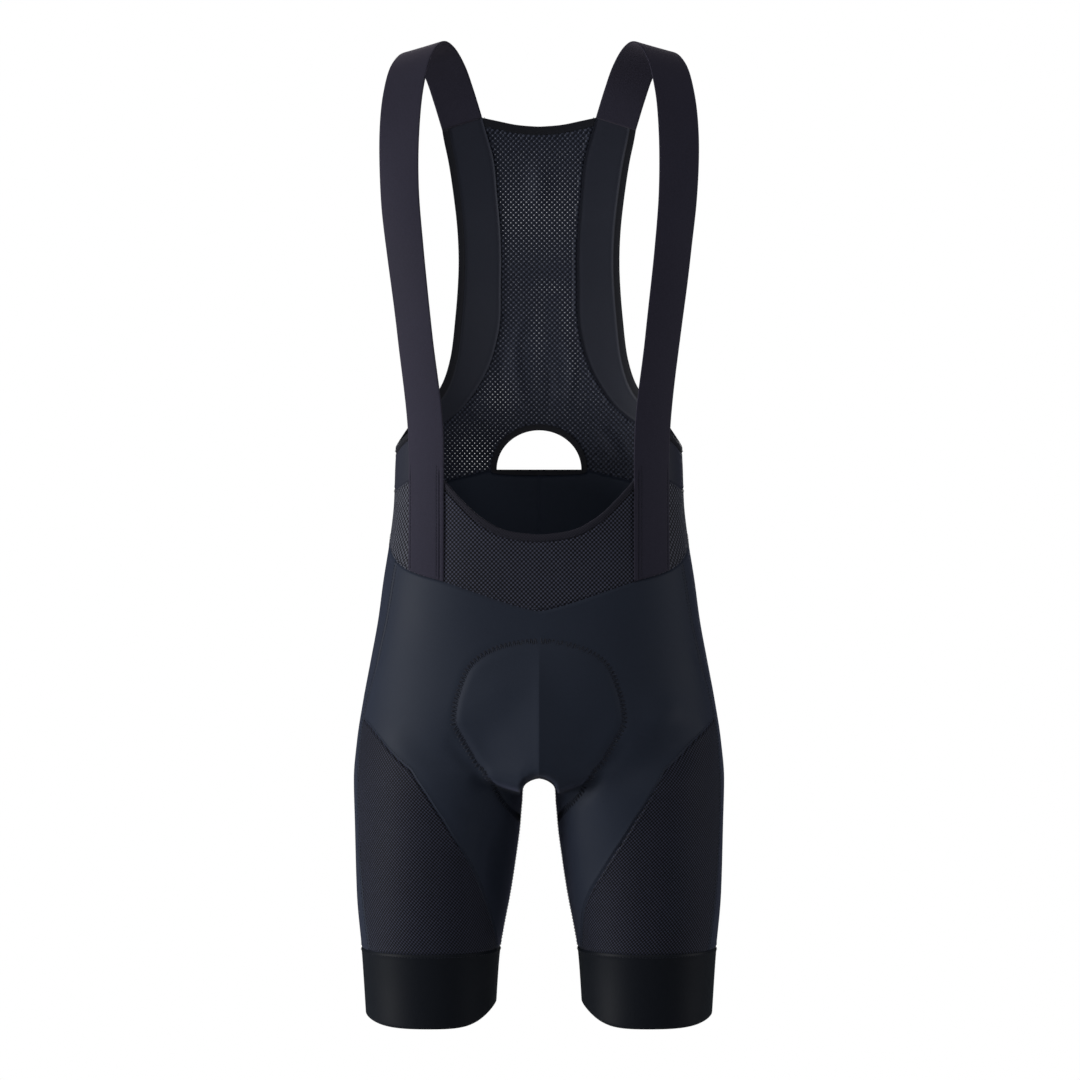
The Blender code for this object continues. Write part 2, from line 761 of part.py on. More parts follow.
def strap_points(columns, rows):
    """Grid of the strap's outer face: columns from its inner edge, rows from the waist seam."""
    across, along = np.meshgrid(np.linspace(-0.5, 0.5, columns + 1), np.linspace(0, 1, rows + 1))
    line = strap_route()
    stations = line(along)
    middles = stations[..., :3]
    run = unit(line(along + 0.01)[..., :3] - line(along - 0.01)[..., :3])
    width = stations[..., 3:]
    width = unit(width - (width * run).sum(axis=-1, keepdims=True) * run)
    points = middles + width * (across * WEBBING_WIDTH)[..., None]
    drop = REST - points[..., 2]
    laid = form(np.stack([front_turn(points[..., 0], drop), drop], axis=-1))
    settle = np.clip((drop - 70) / (ON_CHEST - 70), 0, 1) * (points[..., 1] < 0)
    settle = (settle * settle * (3 - 2 * settle))[..., None]
    points += (laid - points) * settle
    lift = STRAP_LIFT * np.clip((1 - along) / STRAP_LANDING, 0, 1)
    return points + np.cross(width, run) * lift[..., None]


def waist_end(points):
    """Cut the strap's lower end along the waist seam."""
    line = form(seam(WAIST)(np.linspace(0, 0.5, 200)))
    for point in points[0]:
        level = np.interp(point[0], line[:, 0], line[:, 2]) + SEAM
        share = (level - point[2]) / (points[2, 0, 2] - points[0, 0, 2])
        point += (points[2, 0] - points[0, 0]) * share


def straps():
    columns = 3
    rows = 30
    outer = strap_points(columns, rows)
    waist_end(outer)
    directions = unit(np.cross(np.gradient(outer, axis=1), np.gradient(outer, axis=0)))
    landing = shoulder_seam()(np.linspace(0, 1, columns + 1))
    outer[-1] = form(landing) + unit(outer[-2] - form(landing)) * SEAM
    directions[-1] = outward(landing)
    inner = outer - WEBBING * directions
    for side in ("left", "right"):
        sheet = shell(outer, inner)
        if side == "right":
            flip(sheet)
        piece("strap_" + side, sheet, "webbing")


def pad_quarter(outline, turn, rows, line, corner, reach):
    """One quarter of the pad: centre line, inseam and two stretches of its outline."""
    left = lambda up: line(corner + np.asarray(up) * reach * (1 - corner))
    bottom = lambda share: line(corner * (1 - np.asarray(share) * PAD_INSEAM_REACH))
    ends = np.array([left(1.0), bottom(1.0)])
    outline = {"turn": np.concatenate([ends[:1, 0], outline["turn"], ends[1:, 0]]),
               "drop": np.concatenate([ends[:1, 1], outline["drop"], ends[1:, 1]])}
    top = seam(outline, 0, PAD_CORNER)
    right = seam(outline, 1, PAD_CORNER)
    across, up = np.meshgrid(np.linspace(0, 1, PAD_COLUMNS + 1), np.linspace(0, 1, rows + 1))
    return form(patch(bottom, top, left, right)(across, up))


def seat_pad():
    front = pad_quarter(PAD_OUTLINE, 0, PAD_FRONT_ROWS,
                        crotch_line(0, FRONT_ROWS, WAIST["drop"][0]), INSEAM_STEPS / FRONT_ROWS, PAD_REACH[0])
    back = pad_quarter(PAD_BACK_OUTLINE, 180, PAD_BACK_ROWS,
                       crotch_line(180, BACK_ROWS, VENT_BOTTOM + BINDING_WIDTH), INSEAM_STEPS / BACK_ROWS,
                       PAD_REACH[1])
    half = bmesh.new()
    grid(half, front)
    grid(half, back[:, ::-1])
    for corner in half.verts:
        if abs(corner.co.x) < MERGE * MM / 2:
            corner.co.x = 0.0
    bmesh.ops.remove_doubles(half, verts=half.verts, dist=MERGE * MM)
    pad = piece("seat_pad", half, "pad")
    pad.data.shade_smooth()
    pad.modifiers.new("Other half", "MIRROR").merge_threshold = MERGE * MM
    depth = pad.modifiers.new("Depth", "DISPLACE")
    depth.strength = -PAD_DEPTH * MM
    depth.mid_level = 0.0
    thickness = pad.modifiers.new("Thickness", "SOLIDIFY")
    thickness.thickness = PAD * MM
    thickness.offset = -1.0


def build():
    clear_scene()
    garment = bpy.data.collections.new(NAME)
    bpy.context.scene.collection.children.link(garment)
    front_panels()
    leg_meshes()
    back_panels()
    cuffs()
    belly()
    side_bands()
    side_meshes()
    back_mesh()
    vent_binding()
    straps()
    seat_pad()


build()
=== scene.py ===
import math

import bpy
import numpy as np
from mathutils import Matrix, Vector
from mathutils.geometry import delaunay_2d_cdt
from mathutils.kdtree import KDTree


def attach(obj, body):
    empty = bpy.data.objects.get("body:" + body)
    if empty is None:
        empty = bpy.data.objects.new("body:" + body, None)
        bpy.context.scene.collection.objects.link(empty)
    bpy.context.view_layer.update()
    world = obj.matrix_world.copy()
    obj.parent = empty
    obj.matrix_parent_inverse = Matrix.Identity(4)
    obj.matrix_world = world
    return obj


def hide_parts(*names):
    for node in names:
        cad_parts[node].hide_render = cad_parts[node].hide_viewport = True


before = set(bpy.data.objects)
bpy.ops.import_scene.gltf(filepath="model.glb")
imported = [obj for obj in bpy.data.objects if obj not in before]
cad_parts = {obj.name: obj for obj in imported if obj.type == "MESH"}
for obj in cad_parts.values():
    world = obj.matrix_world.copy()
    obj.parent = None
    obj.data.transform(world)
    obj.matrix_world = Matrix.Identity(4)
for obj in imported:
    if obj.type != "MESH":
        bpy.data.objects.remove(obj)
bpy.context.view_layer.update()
print("frame loaded")

# The garment's form, in millimetres. "drop" is measured down from the top of the straps.
# "turn" is degrees round one half: 0 at the centre front, 90 at the side, 180 at the centre back;
# on a leg 0 and 180 meet at the inseam. Negative turns are the wearer's right half.
mm = 0.001
rest = 4.0                 # the shoulders are this far under the top line
crotch = 688.0
cuffSeam = 847.0
hem = 914.0
hemDip = 2.5               # the cuff's edge is this much lower at the front and back
hemRise = (17.0, 6.0)      # and this much higher at the inseam and the outer side
onChest = 150.0            # the front straps lie on the form from here down
bindingWidth = 7.0
ventBinding = 5.0
webbingWidth = 40.0
turnPace = 2.7             # a degree of turn counts as this much length along a line


def table(columns, *rows):
    return dict(zip(columns.split(), np.array(rows, dtype=float).T))


girth = table(
    "drop halfWidth",
    (50, 185), (90, 181), (150, 171), (210, 159), (270, 148), (330, 138), (374, 134), (400, 135),
    (430, 136), (466, 140), (504, 146), (541, 151), (579, 158), (616, 165), (654, 171), (690, 174),
    (730, 173), (797, 171), (853, 166), (914, 162))

torso = table(
    "drop front back squareness",
    (50, 60, 76, 2.5), (90, 80, 97, 2.7), (150, 98, 111, 2.8), (210, 107, 113, 2.8),
    (270, 107, 107, 2.7), (330, 103, 98, 2.6), (400, 97, 91, 2.6), (466, 95, 93, 2.6),
    (541, 98, 109, 2.5), (616, 101, 123, 2.4), (690, 97, 112, 2.4))

leg = table(
    "drop middle forward front back spread",
    (585, 84, 6, 100, 112, 0), (640, 85, 5, 102, 113, 0), (688, 87, 3, 101, 106, 0),
    (730, 93, 2, 95, 95, 2.4), (764, 96, 1, 90, 88, 6.7), (797, 98, 0, 84, 81, 11.8),
    (831, 100, -1, 78, 74, 18.4), (853, 101, -1, 74, 70, 22), (880, 101, -1, 70, 67, 24.2),
    (914, 101, -1, 67, 65, 26))

crotchCurve = {"rise": 100, "archHalfWidth": 15, "archHeight": 14, "archBlend": 90,
               "legBlend": 103, "squareness": 2.15, "freeTurn": 150}

# Between the thighs the pad fills out the front to a ridge at the centre seam, then turns under
ridge = table(
    "drop front",
    (540, 80), (560, 93), (580, 100), (600, 103.5), (620, 107), (640, 109.5), (655, 110.5),
    (675, 110.5), (690, 108), (710, 100))
ridgeFoot = table(
    "drop fall",
    (666, 0), (675, 1), (679, 4.5), (682, 13), (684, 27), (686, 48), (688, 76), (692, 130), (700, 200))
ridgeShape = {"slope": 0.3, "halfWidth": 55, "fall": 0.02, "softness": 6, "depth": 25,
              "archRise": 7, "archWidth": 14, "wallRise": 7, "wallStart": 13, "wallWidth": 5,
              "foldSlope": 0.25, "foldStart": 18}

waistRows = table(
    "turn drop",
    (0, 531), (18, 514), (30, 505), (44, 498), (57, 491), (76, 476), (100, 452), (125, 426),
    (144, 410), (160, 403), (170, 398.5), (180, 397))

scoopRows = table(
    "turn drop", (0, 461), (8, 457), (17, 445), (26, 428), (33, 414), (39, 403), (44.8, 396))

sideSeamRows = table(
    "turn drop",
    (64, 486), (66, 530), (70, 580), (75, 632), (77, 690), (77, 750), (75, 800), (73, 847))

diagonalRows = table(
    "turn drop",
    (75, 632), (64, 640), (55.5, 652), (50, 667), (45, 686), (38.8, 712), (33.4, 738), (27.3, 761),
    (20.5, 786), (14, 814), (8, 847))

bandRows = table(
    "edgeTurn edgeDrop seamTurn seamDrop",
    (155.5, 71, 167.7, 59), (157.8, 99, 171.1, 91), (159.3, 137, 172.4, 129),
    (159.4, 175, 172.9, 172), (157.9, 214, 172.4, 216), (154.5, 253, 170.7, 262),
    (149.9, 290, 165.4, 301), (142.4, 319, 154.4, 336), (128, 340, 136, 362),
    (112, 361.5, 119, 388), (96, 374, 102, 408), (80, 378, 84, 419),
    (62, 368, 64, 414), (44.8, 358, 44.8, 404))

neckRows = table("turn drop", (167.7, 59), (172, 62), (176.7, 65.5), (180, 66.9))

strapRows = table(
    "out forward drop yaw slope",
    (103, 0, 496, 34, 0), (103, 0, 430, 34, 0), (104, 0, 360, 34, 0), (113, 0, 280, 34, 0),
    (122, 0, 200, 31, 0), (127, 0, onChest, 26, 0), (128, 72, 92, 22, 1), (125, 55, 52, 20, 5),
    (118, 31, 20, 17, 11), (107, 2, 4, 14, 14), (98, -23, 7, 11, 15), (89, -44, 21, 7, 16),
    (82, -62, 40, 3, 17))

corners = {"strap": 40.3, "side": 64, "meshSeam": 136}  # turns of the waist seam's corners
vent = {"halfWidth": 41, "height": 38, "bottom": 398}
# a panel's inner edge: its turn, how much of it is inseam, and its top
innerEdges = {"front": (0, 0.5, waistRows["drop"][0]), "back": (180, 6 / 17, vent["bottom"] + ventBinding)}


def numbers(values):
    return np.asarray(values, dtype=float)


def even(count, end=True):
    return np.linspace(0, 1, count, endpoint=end)


def joined(*columns):
    return np.stack(columns, axis=-1)


def clamp(x):
    return np.clip(x, 0, 1)


def mirror(side):
    return np.array([side, 1, 1])


def walked(path):  # the length from a line's start to each of its points
    return np.concatenate([[0.0], np.cumsum(np.linalg.norm(np.diff(path, axis=0), axis=1))])


def readAt(at, steps, rows):
    return np.stack([np.interp(at, steps, rows[:, k]) for k in range(3)], axis=-1)


def bell(distance, width):
    return np.exp(-(distance / width) ** 2)


def ease(x):
    x = clamp(x)
    return x * x * (3 - 2 * x)


def unit(vectors):
    return vectors / np.maximum(np.linalg.norm(vectors, axis=-1, keepdims=True), 1e-12)


def hermite(at, knots, values, slopes):
    at = np.clip(numbers(at), knots[0], knots[-1])
    left = np.clip(np.searchsorted(knots, at) - 1, 0, len(knots) - 2)
    width = knots[left + 1] - knots[left]
    step = (at - knots[left]) / width
    back = 1 - step
    return (values[left] * (1 + 2 * step) * back ** 2 + slopes[left] * width * step * back ** 2
            + values[left + 1] * step ** 2 * (1 + 2 * back)
            - slopes[left + 1] * width * step ** 2 * back)


def column(source, name, drop):  # one column of a table at any drop, never past its rows
    knots = source["drop"]
    rise = np.diff(source[name]) / np.diff(knots)
    both = rise[:-1] * rise[1:]
    slopes = np.concatenate([rise[:1], 0 * both, rise[-1:]])
    level = both > 0
    slopes[1:-1][level] = 2 * both[level] / (rise[:-1] + rise[1:])[level]
    return hermite(drop, knots, source[name], slopes)


def route(columns, lengths):  # a smooth line through rows of numbers, at an even pace
    rows = np.array(columns, dtype=float).T
    knots = walked(rows * np.array(lengths))
    knots /= knots[-1]
    slopes = np.gradient(rows, knots, axis=0)

    def at(share):
        return np.stack([hermite(share, knots, rows[:, k], slopes[:, k])
                         for k in range(rows.shape[1])], axis=-1)

    return at


def torsoSection(turn, drop):
    power = 2 / column(torso, "squareness", drop)
    angle = np.radians(turn)
    cosine = np.cos(angle)
    across = column(girth, "halfWidth", drop) * np.abs(np.sin(angle)) ** power
    reach = np.where(cosine > 0, -column(torso, "front", drop), column(torso, "back", drop))
    return across, reach * np.abs(cosine) ** power


def legSection(turn, drop):
    shape = crotchCurve
    middle = column(leg, "middle", drop)
    outer = column(girth, "halfWidth", drop) - middle
    below = np.clip(drop - crotch, 0, None)
    arch = np.sqrt(1 - (1 - clamp(below / shape["archHeight"])) ** 2)
    share = np.clip(1 - (crotch - drop) / shape["rise"], 0.05, 1)
    inner = np.where(drop < crotch, middle / share, middle - column(leg, "spread", drop))
    end = 180 - np.degrees(np.arccos(share ** (shape["squareness"] / 2)))
    evened = shape["freeTurn"] + (180 - shape["freeTurn"]) * clamp(below / (hem - crotch))
    free = np.minimum(end, evened)
    signed = turn / 90 - 1
    angle = np.radians(signed * (free + (end - free) * np.abs(signed) ** 6))
    cosine = np.cos(angle)
    sine = np.sin(angle)
    power = 2 / shape["squareness"]
    wide = np.abs(cosine) ** power
    pulled = wide ** 5 + (wide - wide ** 5) * ease(below / shape["archBlend"])
    across = middle + np.where(cosine > 0, outer * wide,
                               shape["archHalfWidth"] * arch * pulled - inner * wide)
    reach = np.where(sine < 0, -column(leg, "front", drop), column(leg, "back", drop))
    return across, reach * np.abs(sine) ** power + column(leg, "forward", drop)


def padFront(across, drop):  # its foot is an arch at the centre and runs up outwards in the groin
    shape = ridgeShape
    foot = (shape["archRise"] * clamp(across / shape["archWidth"]) ** 2
            + shape["wallRise"] * ease((across - shape["wallStart"]) / shape["wallWidth"])
            - shape["foldSlope"] * np.clip(across - shape["foldStart"], 0, None))
    fall = shape["fall"] * np.clip(across - shape["halfWidth"], 0, None) ** 2
    fall = fall + column(ridgeFoot, "fall", drop - foot)
    return column(ridge, "front", drop) - shape["slope"] * across - fall


def halfForm(turn, drop):
    bodyAcross, bodyDepth = torsoSection(turn, drop)
    legAcross, legDepth = legSection(turn, drop)
    blend = ease((drop - crotch) / crotchCurve["legBlend"] + 1)
    across = bodyAcross + (legAcross - bodyAcross) * blend
    depth = bodyDepth + (legDepth - bodyDepth) * blend
    filled = padFront(across, drop)
    filled = (filled - depth + np.hypot(filled + depth, ridgeShape["softness"])) / 2
    depth = depth - (filled + depth) * ease(-depth / ridgeShape["depth"])
    return joined(across, depth, rest - drop)


def halves(places):
    turn = np.where(places[..., 0] > 180 + 1e-6, places[..., 0] - 360, places[..., 0])
    side = np.where(turn < -1e-6, -1.0, 1.0)
    return (np.clip(np.abs(turn), 0, 180), places[..., 1] + 0 * turn,
            joined(side, side ** 2, side ** 2))


def onSide(places, side):  # places of the left half (1), moved to the right one (-1)
    if side < 0:
        places[..., 0] = -np.maximum(places[..., 0], 1e-5)
    return places


def form(places):
    turn, drop, side = halves(places)
    return halfForm(turn, drop) * side


def outward(places):
    turn, drop, side = halves(places)
    around = halfForm(np.clip(turn + 0.5, 0, 180), drop) - halfForm(np.clip(turn - 0.5, 0, 180), drop)
    down = halfForm(turn, drop + 0.5) - halfForm(turn, drop - 0.5)
    normals = unit(np.cross(down, around))
    normals[..., 0] *= clamp(halfForm(turn, drop)[..., 0] / 3)  # the halves meet at the centre
    return unit(normals) * side


def frontTurn(out, drop):
    share = clamp(out / column(girth, "halfWidth", drop))
    return np.degrees(np.arcsin(share ** (column(torso, "squareness", drop) / 2)))


def laidOn(out, drop):  # on the front of the form, this far out
    return form(joined(frontTurn(out, drop), drop))


# Lengths of cloth round the form, for weaves of a true size. The steps are closer near 0 and 180.
stepTurns = 90 - 90 * np.cos(np.radians(np.linspace(0, 180, 181)))
stepDrops = np.linspace(40, 920, 221)
lengthsRound = np.stack([walked(halfForm(stepTurns, drop + 0 * stepTurns)) for drop in stepDrops])


def lengthRows(drop):
    row = np.clip((drop - stepDrops[0]) / (stepDrops[1] - stepDrops[0]), 0, len(stepDrops) - 1.001)
    whole = row.astype(int)
    share = (row - whole)[..., None]
    return lengthsRound[whole] * (1 - share) + lengthsRound[whole + 1] * share


def cutLengths(places, start=0):  # millimetres round from turn 0, 90 or 180, and down
    turn, drop, side = halves(places)
    rows = lengthRows(drop)
    step = np.degrees(np.arccos(np.clip(1 - turn / 90, -1, 1)))
    whole = np.clip(step.astype(int), 0, 179)
    low = np.take_along_axis(rows, whole[..., None], axis=-1)[..., 0]
    high = np.take_along_axis(rows, whole[..., None] + 1, axis=-1)[..., 0]
    length = low + (high - low) * (step - whole) - rows[..., start]
    return joined(length * side[..., 0], drop)


def placesFromBack(flat):  # the other way, for lengths from the centre back
    rows = lengthRows(flat[:, 1])
    goal = rows[:, -1] - np.abs(flat[:, 0])
    above = np.clip((rows < goal[:, None]).sum(axis=1), 1, 180)
    each = np.arange(len(flat))
    low = rows[each, above - 1]
    high = rows[each, above]
    step = above - 1 + (goal - low) / np.maximum(high - low, 1e-9)
    turn = 90 - 90 * np.cos(np.radians(np.clip(step, 0, 180)))
    return joined(np.where(flat[:, 0] < 0, turn, 360 - turn), flat[:, 1])


# Seam lines and the patches between them
def part(line, start, end):
    return lambda share: line(start + (end - start) * numbers(share))


def backwards(line):
    return part(line, 1, 0)


def seam(source, start=0.0, end=1.0):
    return part(route((source["turn"], source["drop"]), (turnPace, 1)), start, end)


def shareAt(line, goal, axis):  # where on a line its turn (axis 0) or drop (axis 1) is the goal
    shares = even(801)
    values = line(shares)[:, axis]
    order = np.argsort(values)
    return float(np.interp(goal, values[order], shares[order]))


def straight(start, end):
    start = numbers(start)
    end = numbers(end)
    return lambda share: start + (end - start) * numbers(share)[..., None]


def ring(start, end, drop=cuffSeam):  # a level line from one turn to another
    return straight((start, drop), (end, drop))


def chain(first, second, split):  # one edge from two lines that meet at a share of it
    def at(share):
        share = numbers(share)
        after = second(clamp((share - split) / (1 - split)))
        return np.where((share > split)[..., None], after, first(clamp(share / split)))

    return at


def patch(bottom, top, left, right):
    zero = np.zeros(1)

    def at(across, up):
        u = across[..., None]
        v = up[..., None]
        pins = ((1 - u) * (1 - v) * bottom(zero) + u * (1 - v) * bottom(zero + 1)
                + (1 - u) * v * top(zero) + u * v * top(zero + 1))
        return (1 - v) * bottom(across) + v * top(across) + (1 - u) * left(up) + u * right(up) - pins

    return at


def strip(bottom, top):  # a narrow patch straight from one line to the other
    return lambda across, up: bottom(across) + (top(across) - bottom(across)) * up[..., None]


def innerEdge(name):  # up the inseam to the crotch, then up the centre line
    turn, corner, top = innerEdges[name]

    def at(up):
        up = numbers(up)
        down = clamp(1 - up / corner) ** 2
        rise = clamp((up - corner) / (1 - corner)) ** 1.6
        drop = crotch + (cuffSeam - crotch) * down - (crotch - top) * rise
        return joined(np.full(drop.shape, float(turn)), drop)

    return at


def ventLine(angle, margin):
    x = (vent["halfWidth"] + margin) * np.cos(angle)
    rise = np.sin(angle)
    over = (vent["height"] + margin) * np.clip(rise, 0, None)
    under = margin * np.clip(-rise, 0, None) ** 0.4
    drop = vent["bottom"] - over + under
    return joined(180 - np.sign(x) * frontTurn(np.abs(x), drop), drop)


def besideVent(quarter):  # over (1) or under (-1) the vent, from its corner to the centre
    return lambda share: ventLine(quarter * math.pi / 2 * numbers(share), ventBinding)


waistLine = seam(waistRows)
ventCorner = ventLine(np.zeros(1), ventBinding)[0]
waistEnds = {"centre": 0.0, **{name: shareAt(waistLine, turn, 0) for name, turn in corners.items()},
             "vent": shareAt(waistLine, ventCorner[0], 0)}
waistMiss = ventCorner - waistLine(waistEnds["vent"])


def waist(first, last):
    def at(along):
        return waistLine(along) + waistMiss * ((along / waistEnds["vent"]) ** 12)[..., None]

    return part(at, waistEnds[first], waistEnds[last])


sideLine = seam(sideSeamRows)
meshTurn, sideTurn = diagonalRows["turn"][-1], sideSeamRows["turn"][-1]  # where they meet the cuff
sideCorner = shareAt(sideLine, diagonalRows["drop"][0], 1)
bandLine = route(list(bandRows.values()), (turnPace, 1, turnPace, 1))
armholeEdge = lambda share: bandLine(share)[..., 0:2]
bandSeam = lambda share: bandLine(share)[..., 2:4]
bandNeck = shareAt(bandSeam, neckRows["drop"][0] + bindingWidth, 1)
bandSplit = shareAt(bandSeam, corners["meshSeam"], 0)


def fromArmhole(share, reach):
    start = armholeEdge(share)
    end = bandSeam(share)
    width = np.linalg.norm(form(end) - form(start), axis=-1)
    return start + (end - start) * (reach / width)[..., None]


def bothSides(line):  # from one half's line that starts at the centre front
    def at(share):
        signed = 2 * numbers(share) - 1
        places = line(np.abs(signed))
        places[..., 0] *= np.where(signed < 0, -1, 1)
        return places

    return at


def overTheBack(line):  # from the left half's line that ends at the centre back
    def at(share):
        share = numbers(share)
        places = line(1 - np.abs(2 * share - 1))
        places[..., 0] = np.where(share > 0.5, 360 - places[..., 0], places[..., 0])
        return places

    return at


def mirrored(line):
    return lambda share: np.array([360.0, 0.0]) + line(share) * np.array([-1, 1])


def lowered(line, distance):
    return lambda share: line(share) + np.array([0.0, distance])


# Shader maths
class Wire:
    def __init__(self, tree, socket=None):
        self.tree = tree
        self.socket = socket

    def node(self, kind, settings=(), links=(), out=0):
        made = self.tree.nodes.new("ShaderNode" + kind)
        for key, value in dict(settings).items():
            setattr(made, key, value)
        for key, value in dict(links).items():
            if isinstance(value, Wire):
                self.tree.links.new(value.socket, made.inputs[key])
            else:
                made.inputs[key].default_value = value
        return Wire(self.tree, made.outputs[out] if len(made.outputs) else None)

    def calc(self, operation, *values):
        return self.node("Math", {"operation": operation}, dict(enumerate(values)))

    def __add__(self, other):
        return self.calc("ADD", self, other)

    def __sub__(self, other):
        return self.calc("SUBTRACT", self, other)

    def __rsub__(self, other):
        return self.calc("SUBTRACT", other, self)

    def __mul__(self, other):
        return self.calc("MULTIPLY", self, other)

    __radd__ = __add__
    __rmul__ = __mul__

    def cosine(self, period):
        return self.calc("COSINE", self * (2 * math.pi / period))

    def between(self, low, high):  # 0 below low, 1 above high
        return self.node("MapRange", {"interpolation_type": "SMOOTHSTEP"},
                         {"Value": self, "From Min": low, "From Max": high})


# Each fabric: the thread's dark and light tone in linear colour, roughness, sheen and its tint, weave,
# its pitch across and down, and the strength and depth of its relief; sizes in millimetres
fabrics = {
    "smooth_knit": ((0.0122, 0.0162, 0.0268), (0.0174, 0.023, 0.0375), 0.6, 0.1, (0.6, 0.64, 1),
        "knit", (0.9, 1.1), (0.1, 0.1)),
    "band_knit": ((0.016, 0.0178, 0.0265), (0.022, 0.0245, 0.036), 0.54, 0.08, (0.6, 0.65, 1),
        "knit", (0.9, 1.1), (0.1, 0.1)),
    "open_mesh": ((0.0085, 0.01, 0.0165), (0.044, 0.05, 0.074), 0.62, 0.08, (0.7, 0.75, 1),
        "dots", (5, 5), (0.25, 0.25)),
    "side_net": ((0.003, 0.0033, 0.0055), (0.09, 0.095, 0.12), 0.62, 0.08, (0.7, 0.75, 1),
        "dots", (4.8, 4.8), (0.25, 0.25)),
    "dense_mesh": ((0.0012, 0.0013, 0.0026), (0.045, 0.049, 0.076), 0.66, 0.06, (0.8, 0.8, 1),
        "dots", (3.9, 3.9), (0.7, 0.4)),
    "fine_mesh": ((0.0006, 0.0007, 0.0016), (0.0252, 0.0288, 0.0505), 0.64, 0.06, (0.8, 0.85, 1),
        "dots", (3.3, 3.3), (0.7, 0.35)),
    "mesh_hem": ((0.01, 0.01, 0.016), (0.018, 0.018, 0.027), 0.68, 0.08, (0.8, 0.8, 1),
        "dots", (2.6, 2.6), (0.3, 0.2)),
    "webbing": ((0.0152, 0.0144, 0.0246), (0.0245, 0.0231, 0.0385), 0.8, 0.12, (0.95, 0.85, 1),
        "ribs", (1.3, 0.9), (0.35, 0.2)),
    "binding": ((0.007, 0.0074, 0.0104), (0.012, 0.0127, 0.0176), 0.6, 0.08, (0.8, 0.85, 1),
        "knit", (0.8, 0.8), (0.12, 0.1)),
    "gripper_band": ((0.002, 0.003, 0.0055), (0.0031, 0.0046, 0.0085), 0.55, 0.05, (0.75, 0.9, 1),
        "ribs", (1.5, 0), (0.1, 0.12)),
    "pad": ((0.012, 0.012, 0.014), (0.02, 0.02, 0.024), 0.85, 0.3, (1, 1, 1),
        "knit", (1.2, 1.2), (0.2, 0.15)),
    "thread": ((0.0038, 0.005, 0.0096), (0.0088, 0.0112, 0.02), 0.55, 0.1, (0.8, 0.85, 1),
        "knit", (0.5, 0.5), (0.1, 0.05)),
}


def makeFabric(name, dark, light, rough, sheen, sheenTint, weave, pitch, relief):
    material = bpy.data.materials.new(name)
    material.use_nodes = True
    material.node_tree.nodes.clear()
    node = Wire(material.node_tree).node
    flat = node("UVMap", {"uv_map": "lengths"})
    x, y = (node("SeparateXYZ", links={0: flat}, out=k) * 1000 for k in (0, 1))
    place = node("TexCoord", out=3)
    cloud = node("TexNoise", links={"Vector": place, "Scale": 9.0, "Detail": 3.0})
    grain = node("TexNoise", links={"Vector": place, "Scale": 900.0, "Detail": 2.0})
    wide, high = pitch
    if weave == "dots":
        height = (x.cosine(wide) * y.cosine(high)).between(-0.35, 0.6)
        tone = height * 0.9 + grain * 0.2 - 0.08
    elif weave == "ribs":
        height = x.cosine(wide) * 0.5 + 0.5
        if high:
            height = height * 0.6 + y.cosine(high) * 0.2 + 0.2
        tone = height * 0.35 + grain * 0.75
    else:
        ribs = x.cosine(wide)
        height = (y + x.calc("ABSOLUTE", ribs) * 0.3).cosine(high) * 0.25 + ribs * 0.25 + 0.5
        tone = height * 0.2 + grain * 0.5 + 0.1
    tone = tone + (cloud - 0.5) * 0.5
    colour = node("Mix", {"data_type": "RGBA"}, {0: tone.between(0.0, 1.0), 6: (*dark, 1), 7: (*light, 1)}, 2)
    varied = (cloud - 0.5) * 0.16 + rough
    bump = node("Bump", links={"Strength": relief[0], "Distance": relief[1] * mm, "Height": height})
    shader = node("BsdfPrincipled", links={
        "Base Color": colour, "Roughness": varied, "Normal": bump, "Sheen Weight": sheen,
        "Sheen Roughness": 0.45, "Sheen Tint": (*sheenTint, 1), "Specular IOR Level": 0.12})
    node("OutputMaterial", links={"Surface": shader})
    return material


materials = {name: makeFabric(name, *look) for name, look in fabrics.items()}
print("fabrics ready")

